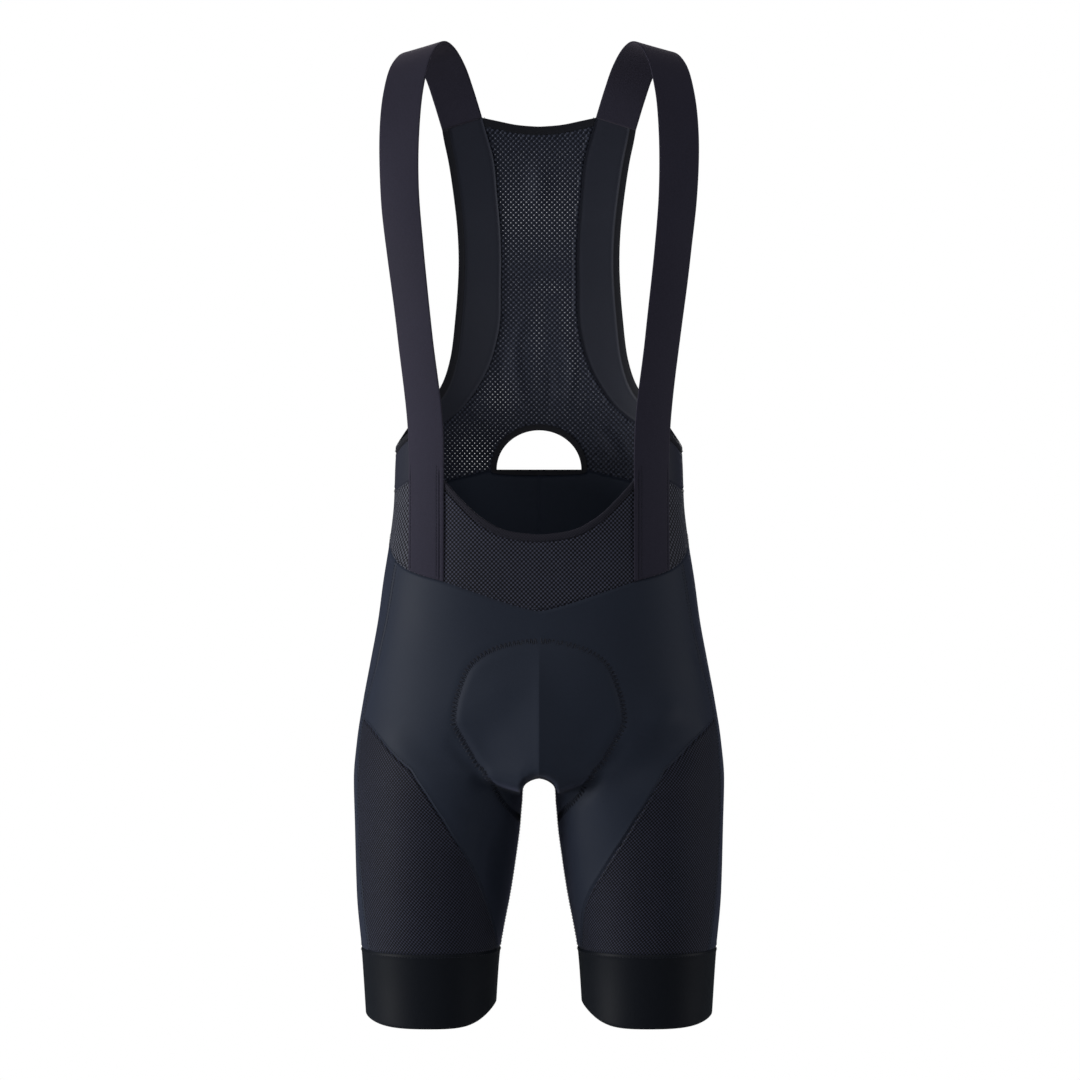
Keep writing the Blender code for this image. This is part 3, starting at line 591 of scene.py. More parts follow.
# Creases: on the left (1), right (-1) or both halves (0); width and depth in millimetres,
# a trough where depth is negative; then the places that the line passes, turn and drop
creases = [
    (0, 11, -2.2, (23, 640), (26, 672), (24.5, 686), (18, 703), (11, 722)),  # under the pad, at the groin
    (1, 34, -8.0, (24, 690), (33, 678), (46, 660), (62, 640)),  # hollow over the thigh
    (1, 30, 3.0, (27, 640), (38, 630), (52, 615)),
    (-1, 42, -9.0, (20, 696), (16, 740), (14, 790), (12, 838)),  # flatter inner thigh
    (1, 40, 3.5, (20, 700), (16, 740), (14, 790), (12, 838)),  # and a fuller one
    (-1, 24, -2.0, (25.5, 682), (32, 666), (46, 640)),
    (-1, 9, -1.0, (34, 700), (26, 724), (14, 756)),
    (0, 9, -1.2, (180, 640), (180, 662), (178, 684)),
    (1, 12, -2.0, (158, 668), (146, 684), (128, 694), (110, 698)),  # under the seat
    (-1, 13, -2.2, (160, 666), (148, 681), (130, 693), (114, 696)),
    (1, 9, 1.0, (160, 688), (142, 704), (122, 712)),
    (-1, 9, 1.1, (157, 690), (140, 702), (124, 712)),
    (1, 8, -1.0, (150, 724), (128, 738), (106, 742)),
    (-1, 7, -0.9, (146, 730), (126, 741), (104, 748)),
    (1, 10, -0.8, (60, 560), (72, 590), (80, 628)),  # along the hips
    (-1, 10, -0.8, (62, 556), (75, 594), (82, 640)),
    (1, 11, -0.9, (118, 470), (112, 520), (102, 575)),
    (-1, 12, -0.9, (120, 466), (113, 516), (104, 570)),
    (1, 8, -1.1, (176, 262), (172, 300), (174, 350)),  # folds of the back mesh
    (-1, 9, -1.4, (178.5, 240), (175, 285), (177, 335), (179, 355)),
    (-1, 8, 1.2, (172, 270), (170, 310), (172, 352)),
    (1, 7, 0.9, (179, 285), (178, 325), (179, 352)),
    (1, 10, -1.6, (148, 396), (155, 372), (163, 352)),
    (-1, 10, -1.2, (146, 398), (153, 376), (160, 356)),
    (1, 8, 1.0, (140, 400), (147, 380), (152, 362)),
    (0, 16, -1.4, (180, 92), (180, 120), (180, 150)),
]


def creaseLift(points):
    lift = np.zeros(points.shape[:-1])
    flat = points.reshape(-1, 3)
    found = lift.reshape(-1)
    for side, width, depth, *passed in creases:
        line = route(np.array(passed).T, (turnPace, 1))(even(25))
        for half in ((1, -1) if side == 0 else (side,)):
            path = form(line) * mirror(half)
            near = np.where(np.all((flat > path.min(axis=0) - 2.5 * width)
                                   & (flat < path.max(axis=0) + 2.5 * width), axis=1))[0]
            if len(near) == 0:
                continue
            run = np.diff(path, axis=0)
            away = flat[near][:, None, :] - path[None, :-1]
            along = clamp((away * run).sum(axis=2) / (run * run).sum(axis=1))
            gap = np.linalg.norm(away - along[..., None] * run, axis=2)
            best = gap.argmin(axis=1)
            each = np.arange(len(near))
            share = (best + along[each, best]) / len(run)
            taper = np.sin(math.pi * clamp(share)) ** 1.3
            found[near] += depth * taper * bell(gap[each, best], 0.6 * width)
    return lift


# The pad's sewn outline, and the relief that it gives the cloth over it
padLook = {"front": [(0, 558.5), (4.4, 560.3), (10, 564.9), (14.7, 571.3), (20, 586), (21, 608), (20.4, 626),
                     (20.8, 645), (22, 660), (23.6, 672.5), (21.5, 686), (17.5, 701), (10.5, 717), (0, 730)],
           "back": [(180, 588), (172, 590), (163, 600), (157, 618), (155.5, 640), (157, 664),
                    (160, 684), (167, 702), (180, 716)],
           "reach": (520, 745, 50), "rise": 0.9, "edge": 9.0, "bulge": {"front": 2.4, "back": 0.72},
           "bulgeWidth": 45.0, "channel": 0.7, "channelWidth": 3.4}
padRim = {name: route(np.array(padLook[name]).T, (turnPace, 1)) for name in innerEdges}
padFlat = {name: line(even(160)) for name, line in padRim.items()}
padSolid = {name: form(places) for name, places in padFlat.items()}


def inside(points, border):  # which flat points lie inside a closed border
    found = np.zeros(len(points), dtype=bool)
    for (ax, ay), (bx, by) in zip(border, np.roll(border, -1, axis=0)):
        if ay != by:
            crosses = (points[:, 1] < ay) != (points[:, 1] < by)
            found ^= crosses & (points[:, 0] < ax + (points[:, 1] - ay) * (bx - ax) / (by - ay))
    return found


def nearest(points, line):
    tree = KDTree(len(line))
    for k, spot in enumerate(line):
        tree.insert(spot, k)
    tree.balance()
    return np.array([tree.find(spot)[2] for spot in points])


def padLift(places, points):
    turn, drop, side = halves(places)
    lift = np.zeros(turn.shape)
    flat = joined(turn.ravel(), drop.ravel())
    spots = (points * side).reshape(-1, 3)
    facing = np.abs(outward(places)[..., 1]).ravel()  # no lift where the cloth turns under
    highest, lowest, width = padLook["reach"]
    for name, (centre, *_) in innerEdges.items():
        near = np.where((flat[:, 1] > highest) & (flat[:, 1] < lowest)
                        & (np.abs(flat[:, 0] - centre) < width))[0]
        if len(near) == 0:
            continue
        within = inside(joined(np.clip(flat[near, 0], 1e-4, 180 - 1e-4), flat[near, 1]), padFlat[name])
        gap = nearest(spots[near], padSolid[name])
        signed = np.where(within, gap, -gap)
        raised = padLook["rise"] * ease((signed + 1) / padLook["edge"])
        crown = padLook["bulge"][name] * ease(signed / padLook["bulgeWidth"])
        channel = -padLook["channel"] * bell(signed, padLook["channelWidth"])
        lift.reshape(-1)[near] += (raised + crown + channel) * facing[near]
    return lift


def clothLift(places):
    points = form(places)
    return creaseLift(points) + padLift(places, points)


# Meshes
def meshPiece(name, points, faces, material, flat):
    mesh = bpy.data.meshes.new(name)
    mesh.from_pydata(np.float32(points) * mm, [], [loop for face in faces for loop in face.tolist()], False)
    loops = np.concatenate([face.ravel() for face in faces])
    layer = mesh.uv_layers.new(name="lengths")
    layer.uv.foreach_set("vector", (flat[loops] * np.array([mm, -mm])).astype(np.float32).ravel())
    mesh.validate()
    mesh.materials.append(materials[material])
    piece = bpy.data.objects.new(name, mesh)
    bpy.context.scene.collection.objects.link(piece)
    return piece


def gridFaces(rows, columns, offset=0, wrap=False, turned=False):
    row = np.arange(rows - 1)[:, None]
    col = np.arange(columns if wrap else columns - 1)[None, :]
    here = offset + row * columns + col
    beside = offset + row * columns + (col + 1) % columns
    quads = joined(here, beside, beside + columns, here + columns).reshape(-1, 4)
    return quads[:, ::-1] if turned else quads


def closedCloth(name, outer, inner, faces, flat, material, crisp=False):  # two skins, walls round them
    shift = len(outer)
    edges = np.vstack([joined(face, np.roll(face, -1, axis=1)).reshape(-1, 2)
                       for face in faces]).astype(np.int64)
    ahead, back = ((edges * scale).sum(axis=1) for scale in ((10 ** 7, 1), (1, 10 ** 7)))
    alone = edges[~np.isin(ahead, back)]  # edges that only one face has
    walls = joined(alone[:, 1], alone[:, 0], alone[:, 0] + shift, alone[:, 1] + shift)
    skins = faces + [face[:, ::-1] + shift for face in faces]
    piece = meshPiece(name, np.vstack([outer, inner]), skins + [walls], material, np.vstack([flat, flat]))
    if crisp:  # no rounded shading over the edges that are sewn to the next cloth
        ends = np.zeros(2 * len(piece.data.edges), dtype=np.int32)
        piece.data.edges.foreach_get("vertices", ends)
        ends = ends.reshape(-1, 2)
        along = np.isin(ends % shift, alone[:, 0]).all(axis=1) & (ends[:, 0] // shift == ends[:, 1] // shift)
        piece.data.attributes.new("sharp_edge", "BOOLEAN", "EDGE").data.foreach_set("value", along)
    return piece


def shell(name, outer, inner, flat, material, wrap=False, turned=False, crisp=False):
    faces = gridFaces(*outer.shape[:2], 0, wrap, turned)
    return closedCloth(name, outer.reshape(-1, 3), inner.reshape(-1, 3), [faces], flat.reshape(-1, 2),
                       material, crisp)


def finer(count, length):  # shares along an edge, closer at both ends, for the seams' relief
    ends = np.array([0.0, 0.5, 1.1, 1.8, 2.7, 4.0]) / length
    middle = np.linspace(ends[-1], 1 - ends[-1], count)
    return np.concatenate([ends[:-1], middle, 1 - ends[-2::-1]])


seamLook = {"depth": 0.75, "width": 1.1, "ridge": 0.22, "ridgeAt": 2.4, "ridgeWidth": 1.1}


def seamLift(points, sides):  # sides: how strongly each edge's seam shows
    look = seamLook
    views = {"left": points[:, 0], "right": points[:, -1], "bottom": points[0], "top": points[-1]}
    lift = np.zeros(points.shape[:2])
    for side, weight in sides.items():
        steps = walked(views[side])
        close = np.linspace(0, steps[-1], max(int(steps[-1] / 0.5), 2))
        gap = nearest(points.reshape(-1, 3), readAt(close, steps, views[side])).reshape(lift.shape)
        lift -= weight * look["depth"] * bell(gap, look["width"])
        lift += weight * look["ridge"] * bell(gap - look["ridgeAt"], look["ridgeWidth"])
    return lift


sideNames = {1: "left", -1: "right"}


# A piece's own look: its fabric, the shares of its grid, its cut size and area in metres, and where
# they aren't the usual ones its crown, the record's slot and how it is held
def declare(piece, node, restsOn):
    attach(piece, "root")
    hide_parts(node)


def sew(name, node, look, place, side=1, seams=None, start=0, restsOn=(), wrap=False, extra=None):
    spread, rise = np.meshgrid(look["across"], look["up"])
    places = onSide(place(spread, rise), side)
    points = form(places)
    normals = outward(places)
    lift = clothLift(places)
    if seams:
        lift = lift + seamLift(points, seams)
    crown = look.get("crown", 0.0)
    arch = 1 - np.abs(2 * rise - 1) ** 3
    lift = lift + crown * arch - crown * 0.3
    if extra:
        lift = lift + extra(places, rise)
    outer = points + normals * lift[..., None]
    inner = points + normals * (lift - look["thickness"] - crown * 0.6 * arch)[..., None]
    piece = shell(name, outer, inner, cutLengths(places, start), look["fabric"], wrap, side < 0,
                  bool(seams) and not wrap)
    declare(piece, node, restsOn)


def sewBoth(name, node, look, place, *more, restsOn=(), **others):  # "_" stands for the same side
    for side, half in sideNames.items():
        on = [other + half if other.endswith("_") else other for other in restsOn]
        sew(name + half, node + half, look, place, side, *more, restsOn=on, **others)


allSeams = {"left": 1, "right": 1, "bottom": 1, "top": 1}

# "corner" is the share of an edge where two of its seams meet
frontPanel = {"fabric": "smooth_knit", "across": finer(92, 190), "up": finer(96, 200), "thickness": 1.0,
              "cut": (0.176, 0.318), "area": 0.0405, "corner": 1 / 13}
bottom = chain(ring(0, meshTurn), backwards(seam(diagonalRows)), frontPanel["corner"])
place = patch(bottom, waist("centre", "side"), innerEdge("front"), part(sideLine, sideCorner, 0))
sewBoth("front_cloth_", "front_panel_", frontPanel, place, {**allSeams, "left": 0.05}, 90,
        restsOn=["belly_panel", "strap_"])

legMesh = {"fabric": "fine_mesh", "across": finer(60, 110), "up": finer(90, 180), "thickness": 1.0,
           "cut": (0.126, 0.205), "area": 0.0185, "corner": 7 / 12}
place = patch(ring(meshTurn, sideTurn), seam(diagonalRows, legMesh["corner"], 0),
              seam(diagonalRows, 1, legMesh["corner"]), part(sideLine, 1, sideCorner))
sewBoth("thigh_mesh_cloth_", "leg_mesh_", legMesh, place, allSeams, 90,
        restsOn=["front_panel_", "back_panel_"])

backPanel = {"fabric": "smooth_knit", "across": finer(110, 230), "up": finer(130, 380), "thickness": 1.0,
             "cut": (0.262, 0.430), "area": 0.0995, "corner": 3 / 4}
top = chain(waist("side", "vent"), besideVent(-1), backPanel["corner"])
place = patch(ring(sideTurn, 180), top, backwards(sideLine), innerEdge("back"))
sewBoth("seat_cloth_", "back_panel_", backPanel, place, {**allSeams, "right": 0.5}, 180,
        restsOn=["back_mesh", "side_mesh_"])
print("shorts ready")

# each wave of the cuff: its height, pace and shift, and the turn that it is at, with its reach
cuff = {"fabric": "gripper_band", "across": even(170, False), "up": finer(30, 67), "thickness": 1.6,
        "cut": (0.360, 0.067), "area": 0.0241, "proud": 0.25, "rolled": 1.2, "rollEnd": 0.035,
        "waves": ((0.35, 9, 40, 14, 22), (0.3, 8, 0, 160, 20))}


def cuffPlace(across, up):
    level = np.cos(2 * math.pi * across)
    edge = hem + hemDip - np.where(level > 0, *hemRise) * level ** 4
    return joined(180 * across, edge + (cuffSeam - edge) * up)


def cuffWaves(places, rise):
    turn = np.abs(places[..., 0])
    waves = sum(height * np.sin(np.radians(turn * pace + shift)) * bell(turn - at, reach)
                for height, pace, shift, at, reach in cuff["waves"])
    rolled = -cuff["rolled"] * clamp(1 - rise / cuff["rollEnd"]) ** 2
    return waves * np.sin(np.pi * clamp(rise * 0.8 + 0.1)) + rolled + cuff["proud"]


sewBoth("cuff_cloth_", "cuff_", cuff, cuffPlace, {"top": 1}, wrap=True, extra=cuffWaves,
        restsOn=["front_panel_", "back_panel_", "leg_mesh_"])
print("cuffs ready")

belly = {"fabric": "dense_mesh", "across": finer(110, 200), "up": finer(56, 90), "thickness": 0.9,
         "cut": (0.196, 0.124), "area": 0.0140}
bellyHem = {"fabric": "mesh_hem", "across": even(120), "up": even(11), "thickness": 1.6, "crown": 0.5,
            "held": "folded", "cut": (0.232, 0.011), "area": 0.0024}
scoop = bothSides(seam(scoopRows))
underHem = lowered(scoop, bindingWidth)
waistFront = bothSides(waist("centre", "strap"))
place = patch(waistFront, underHem, straight(waistFront(0.0), underHem(0.0)),
              straight(waistFront(1.0), underHem(1.0)))
sew("belly_cloth", "belly_panel", belly, place, seams={"bottom": 1, "top": 1},
    restsOn=["strap_left", "strap_right", "front_panel_left", "front_panel_right"])
sew("belly_hem_cloth", "belly_hem", bellyHem, strip(underHem, scoop), restsOn=["belly_panel"])

band = {"fabric": "band_knit", "slot": "smooth_knit", "across": even(220), "up": finer(26, 40),
        "thickness": 1.0, "cut": (0.044, 0.440), "area": 0.0156}
binding = {"fabric": "binding", "across": even(220), "up": even(11), "thickness": 1.5, "crown": 0.6,
           "held": "folded", "cut": (0.440, 0.011), "area": 0.0046}
bandPlace = strip(backwards(bandSeam), lambda share: fromArmhole(1 - share, bindingWidth))
bindPlace = lambda across, up: fromArmhole(1 - across, bindingWidth * (1 - up))
for side, name in sideNames.items():
    sew("side_band_cloth_" + name, "side_band_" + name, band, bandPlace, side, {"bottom": 1, "top": 0.6},
        180, ["strap_" + name, "back_mesh", "side_mesh_" + name])
    sew("armhole_binding_cloth_" + name, "armhole_binding_" + name, binding, bindPlace, side, None, 180,
        ["side_band_" + name])
print("bands ready")


# Mesh cloth with real holes
def closely(border):  # a closed border with six times the points
    return np.vstack([a + (b - a) * even(6, False)[:, None]
                      for a, b in zip(border, np.roll(border, -1, axis=0))])


def through(*lines):  # a closed border from lines, each with its count of points
    return np.vstack([line(even(count, False)) for line, count in lines])


def netFaces(border, look):
    nextOnes = np.roll(border, -1, axis=0)
    if (border[:, 0] * nextOnes[:, 1] - border[:, 1] * nextOnes[:, 0]).sum() < 0:
        border = border[::-1]
    lowest = border.min(axis=0)
    highest = border.max(axis=0)
    wide, high = look["pitch"]
    head = math.floor(lowest[1] / high) * high
    rows = int((highest[1] - head) / (high / 2)) + 2
    columns = int((highest[0] - lowest[0]) / wide) + 2
    row, col = np.mgrid[0:rows, 0:columns]
    centres = joined((col + (row % 2) / 2 + math.floor(lowest[0] / wide)) * wide,
                     row * high / 2 + head).reshape(-1, 2)
    gap = nearest([(*spot, 0) for spot in centres], [(*spot, 0) for spot in closely(border)])
    centres = centres[inside(centres, border) & (gap > look["margin"])]
    angles = np.radians(np.arange(6) * 60 + 30)
    around = look["hole"] / 2 * joined(np.cos(angles), np.sin(angles))
    stretch = np.full(len(centres), look["slack"])
    for u, v, wideSpot, highSpot, gain in look["stretched"]:
        away = (centres - (u, v)) / (wideSpot, highSpot)
        stretch += gain * np.exp(-away[:, 0] ** 2 - away[:, 1] ** 2)
    holes = (centres[:, None, :] + around[None] * stretch[:, None, None]).reshape(-1, 2)
    starts = len(border) + 6 * np.arange(len(centres))
    outlines = [list(range(len(border)))] + [list(range(k, k + 6)) for k in starts.tolist()]
    spots = [Vector(spot) for spot in np.vstack([border, holes])]
    found = delaunay_2d_cdt(spots, [], outlines, 1, 1e-5, True)
    flat = np.array([list(spot) for spot in found[0]])
    faces = np.array([face for face, source in zip(found[2], found[5])
                      if len(face) == 3 and len(source) == 1], dtype=int)
    print(len(centres), "holes")
    return flat, faces


def netSheet(name, node, look, border, side, restsOn):
    flat, faces = netFaces(cutLengths(border, 180), look)
    places = placesFromBack(flat)
    places[:, 0] = np.where(places[:, 0] > 180, places[:, 0] - 360, places[:, 0]) * side
    normals = outward(places)
    lift = clothLift(places)
    gap = nearest(form(places) * mirror(side), closely(form(border)))
    lift = lift - seamLook["depth"] * bell(gap, seamLook["width"])
    outer = form(places) + normals * lift[:, None]
    inner = outer - normals * look["thickness"]
    a, b, c = (outer[faces[:1, k]] for k in range(3))
    if (np.cross(b - a, c - a) * normals[faces[:1, 0]]).sum() < 0:
        faces = faces[:, ::-1]
    piece = closedCloth(name, outer, inner, [faces], flat * np.array([side, 1]), look["fabric"])
    declare(piece, node, restsOn)


# "stretched" lists where the holes are pulled wider: across and down from the centre back, reach, gain
backNet = {"fabric": "open_mesh", "pitch": (5.0, 5.0), "hole": 0.78, "margin": 2.4, "thickness": 0.35,
           "slack": 0.30,
           "stretched": [(0, 146, 75, 42, 0.48), (0, 203, 36, 12, -0.20), (-14, 221, 13, 7, 0.45),
                         (-27, 250, 7, 24, 0.48), (-33, 295, 8, 26, 0.38), (1, 270, 7, 42, 0.42),
                         (38, 325, 17, 20, 0.58), (62, 385, 30, 22, 0.76), (-60, 385, 30, 30, -0.32)],
           "cut": (0.184, 0.320), "area": 0.0350}
tuck = 0.6  # the meshes' lower edges reach under the shorts' top edge by this much
overVent = besideVent(1)
meshFoot = waist("meshSeam", "vent")(0.0)
meshHead = bandSeam(bandSplit)
underWaist = lowered(waist("meshSeam", "vent"), tuck)


def underNeck(share):
    places = seam(neckRows)(share) + np.array([0.0, bindingWidth])
    places[..., 0] += (bandSeam(bandNeck)[0] - neckRows["turn"][0]) * (1 - share)
    return places


border = through((underWaist, 60), (overVent, 40), (backwards(mirrored(overVent)), 40),
                 (backwards(mirrored(underWaist)), 60), (mirrored(straight(meshFoot, meshHead)), 24),
                 (mirrored(part(bandSeam, bandSplit, bandNeck)), 120),
                 (mirrored(underNeck), 30), (backwards(underNeck), 30),
                 (part(bandSeam, bandNeck, bandSplit), 120), (straight(meshHead, meshFoot), 24))
netSheet("back_mesh_cloth", "back_mesh", backNet, border, 1, ["side_band_left", "side_band_right"])

neckBinding = {**binding, "across": even(90), "cut": (0.124, 0.011), "area": 0.0013}
neckPlace = strip(overTheBack(underNeck), overTheBack(seam(neckRows)))
sew("neck_binding_cloth", "neck_binding", neckBinding, neckPlace, start=180, restsOn=["back_mesh"])

sideNet = {"fabric": "side_net", "slot": "open_mesh", "pitch": (4.8, 4.8), "hole": 0.9, "margin": 1.9,
           "thickness": 0.35, "slack": 1.0, "stretched": [], "cut": (0.150, 0.120), "area": 0.0080}
border = through((lowered(waist("strap", "side"), tuck), 40), (lowered(waist("side", "meshSeam"), tuck), 60),
                 (straight(meshFoot, meshHead), 24), (part(bandSeam, bandSplit, 1), 90),
                 (straight(bandSeam(1.0), waist("strap", "meshSeam")(0.0)), 40))
for side, name in sideNames.items():
    netSheet("side_mesh_cloth_" + name, "side_mesh_" + name, sideNet, border, side,
             ["side_band_" + name, "strap_" + name])

ventEdge = {**binding, "across": even(150, False), "cut": (0.222, 0.010), "area": 0.0018, "overlap": 0.8}


def ventPlace(across, up):
    angle = math.pi * (0.5 - 2 * across)
    edge = ventLine(angle, 0.0)
    return edge + (ventLine(angle, ventBinding + ventEdge["overlap"]) - edge) * (1 - up[..., None])


sew("vent_binding_cloth", "vent_binding", ventEdge, ventPlace, start=180, restsOn=["back_mesh"], wrap=True)
print("mesh ready")

# Straps, across from -0.5, the inner edge, to 0.5. Each row of stitches: where across, and how deep
strap = {"fabric": "webbing", "columns": 81, "rows": 260, "thickness": 1.4, "lift": 1.7, "landing": 0.2,
         "footBlend": 0.06, "free": 70, "sewn": 0.152, "cut": (0.040, 0.610), "area": 0.0244,
         "stitchRows": ((-0.385, 0.75), (-0.30, 0.2), (0.44, 0.4)), "rowWidth": 0.9, "footLift": 0.3,
         "headBlend": 0.1, "wave": 0.35, "waves": {1: 31, -1: 27}, "rounding": 0.35, "roundFrom": 0.45}

out = strapRows["out"]
drop = strapRows["drop"]
yaw = np.radians(strapRows["yaw"])
slope = np.radians(strapRows["slope"])
middle = np.where((drop >= onChest)[:, None], laidOn(out, drop),
                  joined(out, -strapRows["forward"], rest - drop))
width = joined(np.cos(yaw) * np.cos(slope), np.sin(yaw) * np.cos(slope), -np.sin(slope))
tips = form(np.array([bandSeam(0.0), armholeEdge(0.0)]))
last = np.concatenate([tips.mean(axis=0), unit(tips[1] - tips[0])])
strapLine = route(np.vstack([np.hstack([middle, width]), last]).T, (1, 1, 1, 0, 0, 0))

strapAcross, strapAlong = np.meshgrid(even(strap["columns"]) - 0.5, even(strap["rows"]))
stations = strapLine(strapAlong)
run = unit(strapLine(strapAlong + 0.01)[..., :3] - strapLine(strapAlong - 0.01)[..., :3])
width = stations[..., 3:]
width = unit(width - (width * run).sum(axis=-1, keepdims=True) * run)
points = stations[..., :3] + width * (strapAcross * webbingWidth)[..., None]
drop = rest - points[..., 2]
settle = ease((drop - strap["free"]) / (onChest - strap["free"])) * (points[..., 1] < 0)
points = points + (laidOn(points[..., 0], drop) - points) * settle[..., None]
lift = strap["lift"] * clamp((1 - strapAlong) / strap["landing"])
strapOuter = points + np.cross(width, run) * lift[..., None]
strapFoot = strapOuter[0]  # the foot ends in the waist seam, the head in the shoulder seam
seamBelow = form(waistLine(np.linspace(0, 0.5, 200)))
level = np.interp(strapFoot[:, 0], seamBelow[:, 0], seamBelow[:, 2]) + strap["footLift"]
strapOuter[..., 2] += (level - strapFoot[:, 2]) * clamp(1 - strapAlong / strap["footBlend"])
landing = form(straight(bandSeam(0.0), armholeEdge(0.0))(even(strap["columns"])))
head = ease((strapAlong - (1 - strap["headBlend"])) / strap["headBlend"])
strapOuter += (landing - strapOuter[-1]) * head[..., None]
strapNormals = unit(np.cross(np.gradient(strapOuter, axis=1), np.gradient(strapOuter, axis=0)))
strapRun = walked(strapOuter[:, strap["columns"] // 2])
strapFlat = joined(strapAcross * webbingWidth, strapRun[:, None] + 0 * strapAcross)
for side, name in sideNames.items():
    flip = mirror(side)
    waves = np.sin(strapAlong * strap["waves"][side] + strapAcross * 2)
    waves = strap["wave"] * waves * np.sin(math.pi * strapAlong)
    rounded = -strap["rounding"] * clamp((np.abs(strapAcross) - strap["roundFrom"]) / 0.05) ** 2
    sewn = ease((strap["sewn"] - strapAlong) / 0.01)  # the lower part is stitched to the belly
    pressed = sum(depth * bell((strapAcross - at) * webbingWidth, strap["rowWidth"])
                  for at, depth in strap["stitchRows"]) * sewn
    outer = strapOuter + strapNormals * (waves + rounded - pressed)[..., None]
    inner = strapOuter + strapNormals * (waves - strap["thickness"] - rounded)[..., None]
    piece = shell("strap_cloth_" + name, outer * flip, inner * flip, strapFlat, "webbing", False, side < 0)
    declare(piece, "strap_" + name, ["side_band_" + name])
print("straps ready")

# The pad inside, in four quarters that meet at the crotch. Each channel: how far out, width, depth
pad = {"columns": 26, "rows": 48, "gap": 1.5, "edge": 1.0, "foam": 5.4, "edgeWidth": 15.0, "corner": 0.42,
       "channels": ((0, 5, 2.2), (27, 3.5, 1.6), (46, 3.0, 1.2))}


def padQuarter(name):
    centre = innerEdge(name)
    corner = innerEdges[name][1]
    head, foot = (shareAt(centre, padLook[name][k][1], 1) for k in (0, -1))
    rim = padRim[name]
    place = patch(part(centre, corner, foot), part(rim, 0, pad["corner"]), part(centre, corner, head),
                  part(rim, 1, pad["corner"]))
    return place(*np.meshgrid(even(pad["columns"]), even(pad["rows"])))


places = []
faces = []
for name in innerEdges:
    quarter = padQuarter(name)
    for side in (1, -1):
        faces.append(gridFaces(*quarter.shape[:2], sum(len(p) for p in places), False,
                               (side < 0) != (name == "back")))
        places.append(onSide(quarter.reshape(-1, 2).copy(), side))
places = np.vstack(places)
points = form(places)
key, first, same = np.unique(np.round(points / 0.02) + 0.0, axis=0, return_index=True,
                             return_inverse=True)
same = same.ravel()
normals = np.zeros((len(key), 3))
np.add.at(normals, same, outward(places))
normals = unit(normals / np.bincount(same)[:, None])
lift = clothLift(places)[first] - pad["gap"]
points = points[first]
rim = np.vstack([padSolid["front"], padSolid["back"]])
gap = nearest(points, np.vstack([rim, rim * mirror(-1)]))
foam = pad["edge"] + pad["foam"] * ease(gap / pad["edgeWidth"])
for at, width, depth in pad["channels"]:
    foam = foam - depth * bell(np.abs(points[:, 0]) - at, width) * ease((gap - 6) / 12)
outer = points + normals * lift[:, None]
inner = outer - normals * foam[:, None]
flat = joined(points[:, 0], points[:, 1] - points[:, 2])
padPiece = closedCloth("seat_pad_cloth", outer, inner, [same[face] for face in faces], flat, "pad")
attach(padPiece, "root")
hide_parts("seat_pad")
print("pad ready")

# Stitches: each is a small lozenge of thread. "beside" is how far a row lies from its seam
stitch = {"length": 2.3, "gap": 0.8, "width": 0.5, "height": 0.35, "lift": 0.3, "beside": 2.2,
          "onBinding": 5.6, "underCuffSeam": 2.4, "onThick": 0.75, "inseamEnd": 0.46}
padStitch = {"width": 1.0, "height": 0.45, "pitch": 3.9, "reach": 8.6, "span": (0.002, 0.97)}
onEdge, onThick = stitch["onBinding"], stitch["onThick"]


def threadPiece(name, threads, look=stitch):
    starts, ends, normals = (np.vstack(rows) for rows in zip(*threads))
    across = unit(np.cross(unit(ends - starts), normals)) * look["width"] / 2
    up = unit(normals) * look["height"] / 2
    rings = [spot + offset for spot in (starts + (ends - starts) * 0.2, starts + (ends - starts) * 0.8)
             for offset in (across, up, -across, -up)]
    points = np.stack([starts - up * 0.7, *rings, ends - up * 0.7], axis=1)
    base = (np.arange(len(starts)) * 10)[:, None]
    tipFaces = []
    quads = []
    for k in range(4):
        after = (k + 1) % 4
        tipFaces += [base + [0, 1 + after, 1 + k], base + [9, 5 + k, 5 + after]]
        quads.append(base + [1 + k, 1 + after, 5 + after, 5 + k])
    piece = meshPiece(name, points.reshape(-1, 3), [np.vstack(tipFaces), np.vstack(quads)], "thread",
                      np.zeros((len(points) * 10, 2)))
    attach(piece, "root")


def evenly(path, normals, spacing):
    steps = walked(path)
    at = np.arange(0, steps[-1], spacing)
    return readAt(at, steps, path), readAt(at, steps, normals)


def rowOf(line, side, offset=0.0, lift=stitch["lift"]):
    places = onSide(line(even(400)), side)
    normals = outward(places)
    path = form(places) + normals * (clothLift(places) + lift)[..., None]
    sideways = unit(np.cross(normals, np.gradient(path, axis=0))) * side
    return path + sideways * offset, normals


def running(path, normals):
    spots, ups = evenly(path, normals, stitch["length"] + stitch["gap"])
    return spots, spots + unit(np.gradient(spots, axis=0)) * stitch["length"], ups


def zigzag(path, normals):
    spots, ups = evenly(path, normals, padStitch["pitch"] / 2)
    sideways = unit(np.cross(ups, np.gradient(spots, axis=0)))
    swing = np.where(np.arange(len(spots)) % 2 == 0, 1, -1)[:, None] * padStitch["reach"] / 2
    corners = spots + sideways * swing
    return corners[:-1], corners[1:], ups[:-1]


rows = []
for side in (1, -1):
    for offset in (-stitch["beside"], stitch["beside"]):
        rows += [rowOf(line, side, offset) for line in (seam(diagonalRows), sideLine)]
    rows += [rowOf(line, side, stitch["beside"])
             for line in (waist("strap", "side"), waist("side", "vent"), part(bandSeam, bandSplit, 1),
                          part(bandSeam, 0, bandSplit), part(innerEdge("front"), 0, stitch["inseamEnd"]))]
rows.append(rowOf(waistFront, 1, stitch["beside"]))
threadPiece("seam_stitches", [running(*row) for row in rows])

